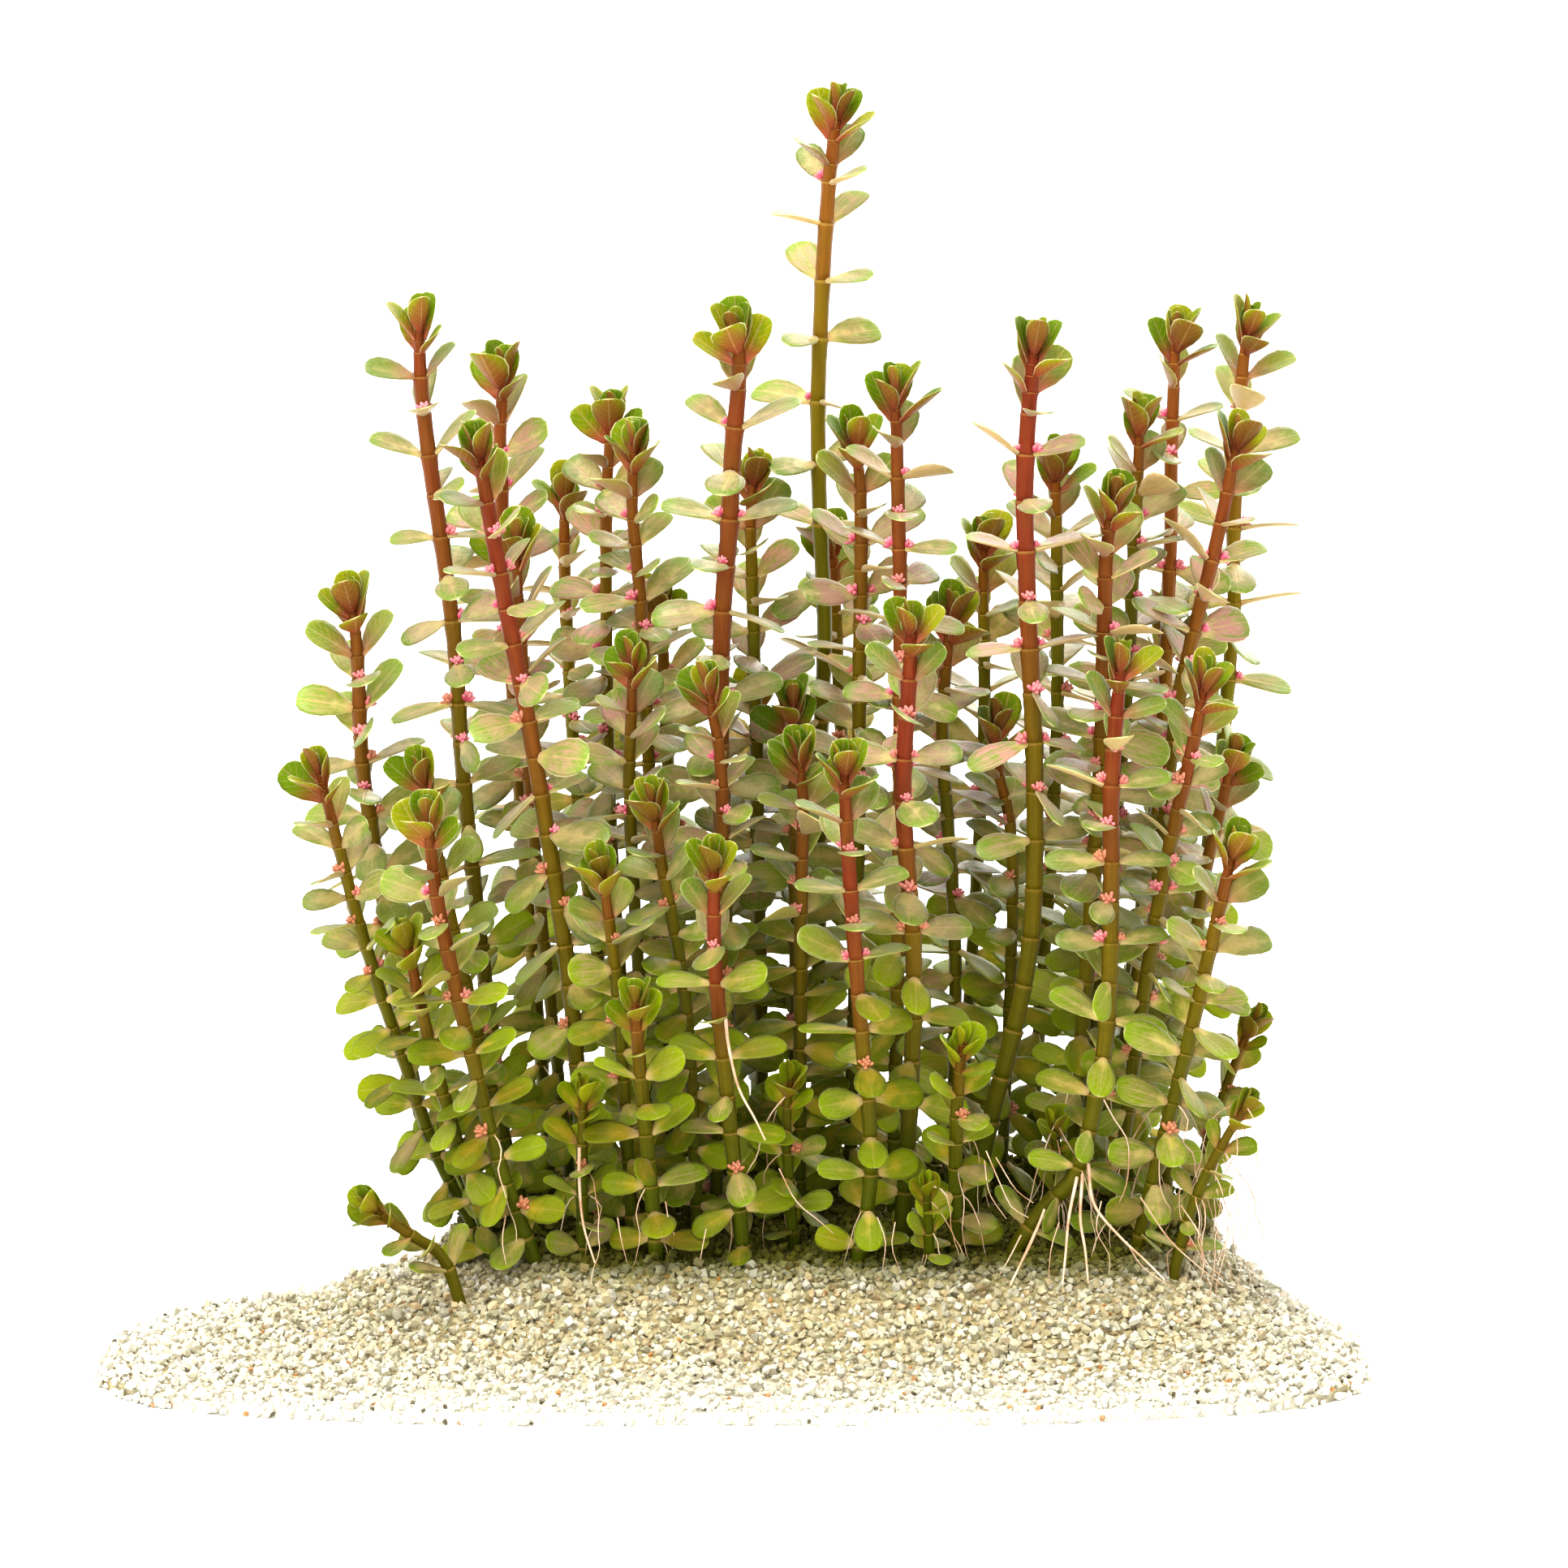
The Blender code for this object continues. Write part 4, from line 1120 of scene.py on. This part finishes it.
def make_grains(stems, materials):
    """The grains over the mound and along its rim, in a few pieces by their depth."""
    grains = [model_grain("grain", seed, stretch) for seed, stretch in enumerate(GRAIN_STRETCHES, start=1)]
    chance = np.random.RandomState(GRAIN_SEED)
    pieces = [Growth() for _ in range(GRAIN_PIECES)]
    rows = int(SAND_DEPTH / ROW_SPACING) + SPARE_ROWS
    columns = int(SAND_LENGTH / GRAIN_SPACING) + SPARE_ROWS
    feet = np.array([stem.foot[:2] for stem in stems])
    reaches = np.array([stem.radius for stem in stems]) + GRAIN_SIZES[1] * GRAIN_ROOM
    for layer in range(2):
        for row in range(rows):
            for column in range(columns):
                x = (column + 0.5 * (row % 2) - columns / 2) * GRAIN_SPACING + chance.normal(0, GRAIN_JITTER)
                y = (row - rows / 2) * ROW_SPACING + chance.normal(0, GRAIN_JITTER)
                if layer and chance.uniform() > LOOSE_SHARE:
                    continue
                in_stem = (np.linalg.norm(feet - (x, y), axis=1) < reaches).any()
                if rim_share(x, y) >= GRAIN_OVERHANG and not in_stem:
                    lay_grain(pieces, grains, x, y, layer, chance)
    rim, lengths = rim_line()
    for place in np.arange(0.0, lengths[-1], RIM_GRAIN_STEP):
        x, y = (np.interp(place, lengths, rim[:, axis]) + chance.normal(0, GRAIN_JITTER) for axis in range(2))
        lay_grain(pieces, grains, x, y, int(chance.uniform() * 2), chance)
    for number, piece in enumerate(pieces, start=1):
        piece.make(f"sand_grains_{number}", materials, "sand", smooth=False)


# Finishes: their colours, the fineness of their marks (per metre), the depth of their relief (m) and their
# gloss, and then the materials, built from nodes.


def shade(red, green, blue):
    """A colour from its red, green and blue as a screen shows them, 0 to 255."""
    values = []
    for value in (red, green, blue):
        value /= 255
        values.append(value / 12.92 if value <= 0.04045 else ((value + 0.055) / 1.055) ** 2.4)
    return (*values, 1.0)


# Leaves: young ones near the tip, adult ones below them, and lush ones low down.
LEAF_YOUNG = shade(80, 110, 4)
LEAF_GOLD = shade(112, 114, 8)
LEAF_GREEN = shade(98, 128, 8)
# The pale adult colour and the pink flush below are partly the leaves' own tints and partly a painted sheen.
LEAF_PALE_AND_SHEEN = shade(186, 178, 108)
LEAF_LUSH = shade(108, 124, 0)
LEAF_LUSH_PALE = shade(176, 156, 30)
LEAF_FLUSH_AND_SHEEN = shade(162, 116, 102)
LEAF_TAN = shade(128, 92, 18)
LEAF_BASE = shade(204, 168, 118)
# The pale rim is partly the leaf's own margin and partly a painted highlight where light shines through the
# thin edge.
LEAF_RIM_AND_HIGHLIGHT = shade(222, 214, 156)
UNDER_YOUNG = shade(124, 76, 30)
UNDER_RED = shade(134, 54, 38)
YOUNG_BASE = shade(168, 82, 62)
UNDER_ADULT = shade(176, 148, 100)
UNDER_LUSH = shade(134, 136, 10)
LEAF_THROUGH = shade(172, 186, 40)
LUSH_LEAF_HEIGHTS = (0.030, 0.074)
RIPENING_AGES = (0.07, 0.13)
LEAF_MOTTLE = 520.0
LEAF_GRAIN = 2400.0
LEAF_SPECKS = 1900.0
LEAF_RELIEF = 0.00016
LEAF_TRANSLUCENCY = 0.48
LEAF_GLOSS = 0.50
LEAF_GLOSS_TINT = (1.0, 0.97, 0.90, 1.0)
LEAF_SHEEN = 0.16
SHEEN_ROUGHNESS = 0.40
SOFT_TRANSLUCENCY = 0.46
SOFT_GLOSS = 0.14
SOFT_GLOSS_TINT = (1.0, 0.96, 0.25, 1.0)
SOFT_SHEEN = 0.0

# Stems, buds and roots. The stems at the back of the clump are made paler: a painted haze of back light.
STEM_RED = shade(98, 29, 12)
STEM_BROWN = shade(90, 58, 8)
STEM_OLIVE = shade(80, 66, 0)
STEM_GREEN = shade(54, 62, 0)
STEM_NODE = shade(122, 90, 36)
LUSH_STEM_HEIGHTS = (0.018, 0.046)
GREEN_STEM_HEIGHTS = (0.020, 0.052)
BACKLIGHT_HAZE_DEPTHS = (0.006, 0.032)
BACKLIGHT_HAZE_GAIN = 0.50
STEM_PATCHES = 140.0
STEM_MOTTLE = 900.0
STEM_RELIEF = 0.00018
STEM_GLOSS = 0.16
STEM_GLOSS_TINT = (1.0, 0.82, 0.35, 1.0)
BUD_PINK = shade(190, 68, 92)
# The paler points of the buds are partly the scales' own colour and partly a painted highlight.
BUD_PALE_AND_HIGHLIGHT = shade(216, 134, 138)
BUD_TAN = shade(176, 108, 70)
BUD_POINT = (0.0004, 0.0010)
BUD_MOTTLE = 2600.0
BUD_RELIEF = 0.0001
ROOT_PALE = shade(208, 178, 148)
ROOT_TAN = shade(166, 120, 80)
ROOT_PATCHES = 260.0
ROOT_GRAIN = 3000.0
ROOT_RELIEF = 0.00006

# Sand: the colour of each kind of grain, with the place among the kinds at which it starts, and the mound's.
# The mound shows in the gaps between grains, where its darker browns are painted shade. The glare colour is
# painted glare toward the rim and front, and the grain shade colour is painted shade among the stems.
GRAIN_COLOURS = (
    (0.00, shade(198, 188, 150)),
    (0.20, shade(206, 200, 170)),
    (0.38, shade(190, 176, 136)),
    (0.54, shade(214, 208, 186)),
    (0.66, shade(182, 168, 126)),
    (0.76, shade(172, 166, 126)),
    (0.84, shade(200, 174, 128)),
    (0.90, shade(150, 128, 84)),
    (0.935, shade(184, 126, 66)),
    (0.95, shade(232, 228, 212)),
    (0.975, shade(84, 74, 54)),
)
GLARE_COLOUR = shade(240, 238, 222)
GRAIN_SHADE_COLOUR = shade(86, 84, 18)
GLARE_KINDS = (0.93, 0.94)
GLARE_STRENGTH = 0.55
GRAIN_SHADE_STRENGTH = 0.97
GRAIN_CLOUD = 1500.0
GRAIN_RELIEF = 0.00012
GRAIN_GLOSS = 0.35
GRAIN_GLOSS_TINT = (1.0, 0.95, 0.78, 1.0)
SHADED_GRAIN_GLOSS = 0.0
SHADED_GRAIN_GLOSS_TINT = (1.0, 0.94, 0.30, 1.0)
MOUND_GAP_SHADE_COLOURS = ((0.30, shade(88, 76, 42)), (0.5, shade(132, 118, 78)), (0.7, shade(164, 150, 108)))
MOUND_PATCHES = 900.0
MOUND_GRAIN = 2600.0
MOUND_RELIEF = 0.0005
GLARE_FRONT = (-0.056, -0.040)
MOUND_GLARE_STRENGTH = 0.85
MOUND_SHADE_STRENGTH = 0.85
MOUND_SHADE_FADE = (0.95, 1.45)
FLOOR_COLOURS = (shade(250, 250, 250), shade(253, 253, 253))
FLOOR_CLOUD = 3.0


class Value:
    """A number, colour or place that a finish works out at each point of its surface.

    Numbers are added, multiplied and so on as usual, and each step becomes a node.
    """

    def __init__(self, finish, socket):
        self.finish = finish
        self.socket = socket

    def worked(self, operation, second=0.0):
        return self.finish.worked(operation, self, second)

    def __add__(self, other):
        return self.worked("ADD", other)

    def __sub__(self, other):
        return self.worked("SUBTRACT", other)

    def __rsub__(self, other):
        return self.finish.worked("SUBTRACT", other, self)

    def __mul__(self, other):
        return self.worked("MULTIPLY", other)

    def __truediv__(self, other):
        return self.worked("DIVIDE", other)

    def __abs__(self):
        return self.worked("ABSOLUTE")

    def rise(self, low, high, start=0.0, end=1.0):
        """A smooth step from start to end as the value goes from low to high."""
        inputs = {"Value": self, "From Min": low, "From Max": high, "To Min": start, "To Max": end}
        node = self.finish.node("ShaderNodeMapRange", inputs, interpolation_type="SMOOTHSTEP")
        return Value(self.finish, node.outputs["Result"])


class Finish:
    """A material and the nodes that colour it."""

    def __init__(self, name):
        self.material = bpy.data.materials.new(name)
        self.material.use_nodes = True
        self.tree = self.material.node_tree
        self.shader = self.tree.nodes["Principled BSDF"]

    def node(self, kind, inputs=(), **settings):
        """A new node, with its settings and with what its inputs take."""
        node = self.tree.nodes.new(kind)
        for key, value in settings.items():
            setattr(node, key, value)
        for key, value in dict(inputs).items():
            self.feed(value, node.inputs[key])
        return node

    def feed(self, value, socket):
        """Gives a socket what the finish works out, or a fixed value."""
        if isinstance(value, Value):
            self.tree.links.new(value.socket, socket)
        else:
            socket.default_value = value

    def split(self, value):
        """The parts of a place or a map."""
        node = self.node("ShaderNodeSeparateXYZ", {0: value})
        return [Value(self, output) for output in node.outputs]

    def map(self, name):
        """The two values of one of the piece's maps."""
        source = self.node("ShaderNodeUVMap", uv_map=name)
        return self.split(Value(self, source.outputs["UV"]))[:2]

    def place(self):
        """The point of the surface, in the shared frame."""
        return Value(self, self.node("ShaderNodeTexCoord").outputs["Object"])

    def vector(self, x, y, z):
        """Three numbers as one place or grey."""
        return Value(self, self.node("ShaderNodeCombineXYZ", {0: x, 1: y, 2: z}).outputs[0])

    def worked(self, operation, first, second):
        """What an operation makes of two numbers, or of the first one alone."""
        return Value(self, self.node("ShaderNodeMath", {0: first, 1: second}, operation=operation).outputs[0])

    def mixed(self, share, first, second, kind="MIX"):
        """The first colour, with a share of the second mixed in."""
        node = self.node("ShaderNodeMix", data_type="RGBA", blend_type=kind, clamp_factor=True)
        for index, value in ((0, share), (6, first), (7, second)):
            self.feed(value, node.inputs[index])
        return Value(self, node.outputs[2])

    def shaded(self, colour, bright):
        """The colour, made darker below a brightness of one and lighter above it."""
        return self.mixed(1.0, colour, self.vector(bright, bright, bright), "MULTIPLY")

    def noise(self, scale, detail=2.0, where=None, roughness=0.5):
        """Cloudy marks, from 0 to 1."""
        where = self.place() if where is None else where
        inputs = {"Vector": where, "Scale": scale, "Detail": detail, "Roughness": roughness}
        return Value(self, self.node("ShaderNodeTexNoise", inputs).outputs["Fac"])

    def ramp(self, value, stops, interpolation="LINEAR"):
        """The colour that the stops give to a value."""
        node = self.node("ShaderNodeValToRGB", {"Fac": value})
        node.color_ramp.interpolation = interpolation
        elements = node.color_ramp.elements
        while len(elements) < len(stops):
            elements.new(0.5)
        for element, (position, colour) in zip(elements, stops):
            element.position = position
            element.color = colour
        return Value(self, node.outputs["Color"])

    def coat(self, colour, roughness, gloss=None, tint=None):
        """Gives the surface its colour and roughness, and a gloss of its own and that gloss's tint."""
        self.feed(colour, self.shader.inputs["Base Color"])
        self.feed(roughness, self.shader.inputs["Roughness"])
        if gloss is not None:
            self.shader.inputs["Specular IOR Level"].default_value = gloss
        if tint is not None:
            self.shader.inputs["Specular Tint"].default_value = tint

    def bump(self, height, distance, strength=1.0):
        """Fine relief, and the way that the surface faces with it."""
        inputs = {"Strength": strength, "Distance": distance, "Height": height}
        normal = Value(self, self.node("ShaderNodeBump", inputs).outputs["Normal"])
        self.feed(normal, self.shader.inputs["Normal"])
        return normal


# On a leaf, places along it are shares of its length from the stalk, and offsets are shares of its width from
# the midrib. Heights and depths are in metres. The other numbers are shares and strengths without a unit.


def leaf_finish(name, gloss, tint, sheen, translucency):
    """Green round the edge, paler and pink inside, partly painted sheen, brown or pale below, and lit
    through.
    """
    finish = Finish(name)
    along, across = finish.map("shape")
    luck, age = finish.map("tone")
    lushness, blush_and_sheen = finish.map("zone")
    height = finish.split(finish.place())[2]
    under = along.worked("GREATER_THAN", UNDERSIDE - 0.5)
    along = along - under * UNDERSIDE
    offset = abs(across - 0.5)
    other_luck = (luck * 7.0).worked("FRACT")
    low = height.rise(*LUSH_LEAF_HEIGHTS, 1.0, 0.0) * lushness * other_luck.rise(0.05, 0.30, 0.45, 1.0)
    old = age.rise(*RIPENING_AGES)
    mottle = finish.noise(LEAF_MOTTLE, 4.0, roughness=0.6)
    fine = finish.noise(LEAF_GRAIN)
    cloud = mottle * 1.3 - 0.65
    streak = finish.noise(1.0, 3.0, finish.vector(along * 3.0, across * 16.0, luck * 80.0))

    young = finish.mixed((luck + cloud).rise(0.35, 0.95), LEAF_YOUNG, LEAF_GOLD)
    young = finish.mixed(along.rise(0.15, 0.62, 0.85, 0.0), young, UNDER_RED)
    outer = along * 0.62 + offset * 0.85 + cloud + luck * 0.5 - 0.25
    greener = outer.rise(0.06, 0.55)
    # The adult face is paler inside: partly its own tone and partly a painted sheen.
    adult = finish.mixed(greener, LEAF_PALE_AND_SHEEN, LEAF_GREEN)
    lush = finish.mixed(greener, LEAF_LUSH_PALE, LEAF_LUSH)
    upper = finish.mixed(low, finish.mixed(old, young, adult), lush)
    # A streaky mauve-pink flush in the middle of the leaf: partly the leaf's own tint and partly a painted
    # sheen.
    middle = along.rise(0.12, 0.36) * along.rise(0.66, 0.96, 1.0, 0.1)
    streaky = (streak + cloud * 0.35).rise(0.30, 0.58)
    flush_and_sheen_share = middle * streaky * blush_and_sheen * (1.0 - low * 0.85) * old * 0.85
    upper = finish.mixed(flush_and_sheen_share, upper, LEAF_FLUSH_AND_SHEEN)
    tanned = other_luck.rise(0.60, 1.0, 0.0, 0.40) * low * outer.rise(0.2, 1.0, 1.0, 0.3)
    upper = finish.mixed(tanned, upper, LEAF_TAN)
    base = finish.mixed(old, YOUNG_BASE, LEAF_BASE)
    upper = finish.mixed(along.rise(0.0, 0.30, 0.80, 0.0), upper, base)

    brown = (along * 0.7 + offset * 1.1 + luck * 0.30).rise(0.80, 1.36, 1.0, 0.0)
    below = finish.mixed(brown, LEAF_GOLD, UNDER_YOUNG)
    below = finish.mixed(along.rise(0.10, 0.60, 0.85, 0.0), below, UNDER_RED)
    below = finish.mixed(old, below, UNDER_ADULT)
    below = finish.mixed(low * 0.95, below, UNDER_LUSH)
    colour = finish.mixed(under, upper, below)

    midrib = offset.rise(0.012, 0.045, 1.0, 0.0)
    veins = ((along - offset * 0.55) * 42.0).worked("SINE").rise(0.86, 1.0)
    lines = (midrib * 0.20).worked("MAXIMUM", veins * 0.16) * (1.0 - low * 0.5)
    colour = finish.mixed(lines, colour, LEAF_BASE)
    # A pale rim round the edge and tip: partly the leaf's own margin and partly a painted rim highlight.
    rim = offset.rise(0.455, 0.495).worked("MAXIMUM", along.rise(0.965, 0.995)) * (0.65 - low * 0.52)
    colour = finish.mixed(rim, colour, LEAF_RIM_AND_HIGHLIGHT)
    specks = finish.noise(LEAF_SPECKS, 1.0).rise(0.74, 0.80)
    colour = finish.mixed(specks * 0.5, colour, UNDER_YOUNG)
    # Low leaves vary more in tone and are a little darker on average: random tone, with painted shade near
    # the sand.
    bright = luck * (low * 0.38 + 0.56) - low * 0.32 + 1.03
    bright = bright + cloud * 0.34 + (fine - 0.5) * 0.24 + (streak - 0.5) * 0.60
    colour = finish.shaded(colour, bright)

    finish.coat(colour, mottle * 0.25 + 0.28, gloss, tint)
    finish.shader.inputs["Sheen Weight"].default_value = sheen
    finish.shader.inputs["Sheen Roughness"].default_value = SHEEN_ROUGHNESS
    normal = finish.bump(mottle * 0.8 - lines * 1.2 + fine * 0.25, LEAF_RELIEF, 0.9)

    lit = low * 0.25 + 0.25 - old * (1.0 - low) * 0.06
    inputs = {"Color": finish.mixed(lit, colour, LEAF_THROUGH), "Normal": normal}
    through = finish.node("ShaderNodeBsdfTranslucent", inputs)
    blend = finish.node("ShaderNodeMixShader", {0: translucency})
    finish.tree.links.new(finish.shader.outputs[0], blend.inputs[1])
    finish.tree.links.new(through.outputs[0], blend.inputs[2])
    finish.tree.links.new(blend.outputs[0], finish.tree.nodes["Material Output"].inputs["Surface"])
    return finish.material


def stem_finish():
    """Crimson under the tip, brown to olive below it and green near the sand, with fine streaks."""
    finish = Finish("rotala_stem")
    around, along = finish.map("shape")
    redness, ripe = finish.map("tone")
    lushness, age = finish.map("zone")
    _, depth, height = finish.split(finish.place())
    streak = finish.noise(1.0, 2.0, finish.vector(around * 14.0, height * 90.0, 0.0))
    mottle = finish.noise(STEM_MOTTLE)
    patches = finish.noise(STEM_PATCHES, 1.0)
    ripe = ripe + patches * 0.24 - 0.12
    low = height.rise(*LUSH_STEM_HEIGHTS, 1.0, 0.0) * lushness
    red_here = (ripe.rise(0.22, 0.58, 1.0, 0.0) * redness).worked("MAXIMUM", age.rise(0.04, 0.16, 0.55, 0.0))
    red_here = red_here * (1.0 - low) * (patches * 1.2 + 0.35)
    green_here = (height + patches * 0.014).rise(*GREEN_STEM_HEIGHTS, 1.0, 0.0) * lushness
    green_here = green_here.worked("MAXIMUM", ripe.rise(0.58, 0.95, 0.0, 0.55))
    colour = finish.mixed(ripe.rise(0.18, 0.50), STEM_BROWN, STEM_OLIVE)
    colour = finish.mixed(red_here, colour, STEM_RED)
    colour = finish.mixed(green_here, colour, STEM_GREEN)
    seam = abs(along - 0.985).rise(0.008, 0.035, 1.0, 0.0)
    colour = finish.mixed(seam * patches * 0.9, colour, STEM_NODE)
    # The depth term makes stems toward the back of the clump paler: painted haze of back light.
    bright = streak * 0.7 + mottle * 0.3 + 0.5 + depth.rise(*BACKLIGHT_HAZE_DEPTHS, 0.0, BACKLIGHT_HAZE_GAIN)
    finish.coat(finish.shaded(colour, bright), streak * 0.25 + 0.42, STEM_GLOSS, STEM_GLOSS_TINT)
    finish.bump(streak + mottle * 0.4, STEM_RELIEF, 0.8)
    return finish.material


def bud_finish():
    """Pink with paler points, partly a painted highlight, and tan where it has dried, lower down."""
    finish = Finish("rotala_bud")
    _, along = finish.map("shape")
    luck, _ = finish.map("tone")
    height = finish.split(finish.place())[2]
    mottle = finish.noise(BUD_MOTTLE)
    # Deeper pink at a scale's foot and paler at its points: partly the scales' own colour, partly painted
    # shade and highlight.
    colour = finish.mixed(along.rise(*BUD_POINT, 0.0, 0.85), BUD_PINK, BUD_PALE_AND_HIGHLIGHT)
    colour = finish.mixed((luck * 0.35 - height * 6.0).rise(-0.35, -0.05), colour, BUD_TAN)
    finish.coat(finish.shaded(colour, mottle * 0.6 + 0.7), 0.45)
    finish.bump(mottle, BUD_RELIEF, 0.7)
    return finish.material


def root_finish():
    """Pale cream with tan patches."""
    finish = Finish("pale_root")
    fine = finish.noise(ROOT_GRAIN)
    colour = finish.mixed(finish.noise(ROOT_PATCHES, 3.0).rise(0.35, 0.70), ROOT_PALE, ROOT_TAN)
    finish.coat(finish.shaded(colour, fine * 0.5 + 0.75), 0.5)
    finish.bump(fine, ROOT_RELIEF, 0.7)
    return finish.material


def grain_finish(name, gloss, tint):
    """Each grain in the colour of its kind, with painted glare near the rim and painted shade among the
    stems.
    """
    finish = Finish(name)
    kind, luck = finish.map("tone")
    pale, painted_shade = finish.map("zone")
    cloud = finish.noise(GRAIN_CLOUD, 3.0)
    colour = finish.ramp(kind, GRAIN_COLOURS, "CONSTANT")
    # Painted glare pales and brightens the grains toward the rim.
    colour = finish.mixed(pale * kind.rise(*GLARE_KINDS, GLARE_STRENGTH, 0.0), colour, GLARE_COLOUR)
    # Painted shade darkens the grains among the stems.
    colour = finish.mixed(painted_shade * GRAIN_SHADE_STRENGTH, colour, GRAIN_SHADE_COLOUR)
    bright = luck * (0.30 - pale * 0.10) + pale * 0.13 + 0.455 + (cloud - 0.5) * 0.36
    finish.coat(finish.shaded(colour, bright), cloud * 0.5 + 0.15, gloss, tint)
    finish.bump(cloud, GRAIN_RELIEF, 0.6)
    return finish.material


def mound_finish():
    """Sandy brown under the grains as painted shade in their gaps, with painted glare at the front and
    painted shade among the stems.
    """
    finish = Finish("sand_body")
    coarse = finish.noise(MOUND_PATCHES)
    fine = finish.noise(MOUND_GRAIN)
    side, depth, _ = finish.split(finish.place())
    across = (side - PLANTED_CENTRE[0]) / PLANTED_HALF[0]
    deep = (depth - PLANTED_CENTRE[1]) / PLANTED_HALF[1]
    # How much painted shade the mound takes, fading out past the planted oval.
    planted = (across * across + deep * deep).rise(*MOUND_SHADE_FADE, MOUND_SHADE_STRENGTH, 0.0)
    # The mound's darker browns show between the grains: painted shade in the gaps.
    colour = finish.ramp(coarse, MOUND_GAP_SHADE_COLOURS)
    # Painted glare pales the mound toward the front.
    colour = finish.mixed(depth.rise(*GLARE_FRONT, MOUND_GLARE_STRENGTH, 0.0), colour, GLARE_COLOUR)
    # Painted shade darkens the mound among the stems.
    colour = finish.mixed(depth.rise(*SHADE_DEPTHS) * planted, colour, GRAIN_SHADE_COLOUR)
    finish.coat(finish.shaded(colour, fine * 0.6 + 0.7), 0.85)
    finish.bump(coarse + fine * 0.4, MOUND_RELIEF, 0.9)
    return finish.material


def floor_finish():
    """Very nearly white, and dull."""
    finish = Finish("studio_floor")
    finish.coat(finish.mixed(finish.noise(FLOOR_CLOUD), *FLOOR_COLOURS), 0.9, 0.1)
    return finish.material


# The studio: a pale floor, soft light and the camera.


def make_floor():
    clear_selection()
    bpy.ops.mesh.primitive_circle_add(vertices=FLOOR_SIDES, radius=FLOOR_RADIUS, fill_type="NGON")
    floor = bpy.context.object
    floor.name = "studio_floor"
    floor.data.materials.append(floor_finish())


def make_light(name, place, size, power, aim):
    light = bpy.data.lights.new(name, "AREA")
    light.shape = "DISK"
    light.size = size
    light.energy = power
    item = bpy.data.objects.new(name, light)
    item.location = place
    item.rotation_euler = (Vector(aim) - Vector(place)).to_track_quat("-Z", "Y").to_euler()
    item.visible_camera = False
    bpy.context.scene.collection.objects.link(item)


def make_studio():
    world = bpy.data.worlds.new("studio")
    world.use_nodes = True
    background = world.node_tree.nodes["Background"]
    background.inputs["Color"].default_value = (1, 1, 1, 1)
    background.inputs["Strength"].default_value = WORLD_LIGHT
    bpy.context.scene.world = world
    bpy.context.scene.view_settings.view_transform = "Standard"
    make_floor()
    for name, place, size, power in LIGHTS:
        make_light(name, place, size, power, (AIM_SIDE, 0.0, AIM_HEIGHT))


def make_camera():
    camera = bpy.data.cameras.new("camera")
    camera.sensor_width = SENSOR_MM
    camera.lens = SENSOR_MM * EYE_DISTANCE / PICTURE_WIDTH
    camera.clip_start, camera.clip_end = CAMERA_CLIP
    item = bpy.data.objects.new("camera", camera)
    eye_height = AIM_HEIGHT + EYE_DISTANCE * math.sin(EYE_TILT)
    item.location = (AIM_SIDE, -EYE_DISTANCE * math.cos(EYE_TILT), eye_height)
    item.rotation_euler = (math.pi / 2 - EYE_TILT, 0, 0)
    bpy.context.scene.collection.objects.link(item)
    bpy.context.scene.camera = item


def main():
    make_studio()
    make_camera()
    shapes = {name: model_leaf(name, cup, curl) for name, (cup, curl) in LEAF_FORMS.items()}
    shapes["section"] = model_section("section")
    shapes["bud"] = model_bud("bud")
    adult = leaf_finish("rotala_leaf", LEAF_GLOSS, LEAF_GLOSS_TINT, LEAF_SHEEN, LEAF_TRANSLUCENCY)
    soft = leaf_finish("rotala_soft_leaf", SOFT_GLOSS, SOFT_GLOSS_TINT, SOFT_SHEEN, SOFT_TRANSLUCENCY)
    shoot_finishes = [adult, stem_finish(), bud_finish(), soft]
    root_material = root_finish()
    stems = [Stem(row, TURNED.get(number, 0.0)) for number, row in enumerate(SHOOTS, start=1)]
    places, leaves = plan_leaves(stems)
    for number, stem in enumerate(stems, start=1):
        make_shoot(number, stem, places[number - 1], leaves[number - 1], shapes, shoot_finishes)
    slim = ROOT_THICKNESS * ROOT_SLIMNESS
    for number, row in enumerate(ROOTS, start=1):
        line = (root_line(row), slim, slim * (1 - ROOT_TAPER))
        draw_root(f"aerial_root_{number:02d}", [line], root_material, (f"root_{number:02d}",))
    make_hairs(stems, places, root_material)
    model_mound("sand_mound", mound_finish())
    make_grains(stems, [grain_finish("sand_grain", GRAIN_GLOSS, GRAIN_GLOSS_TINT),
                        grain_finish("painted_shade_grain", SHADED_GRAIN_GLOSS, SHADED_GRAIN_GLOSS_TINT)])


main()
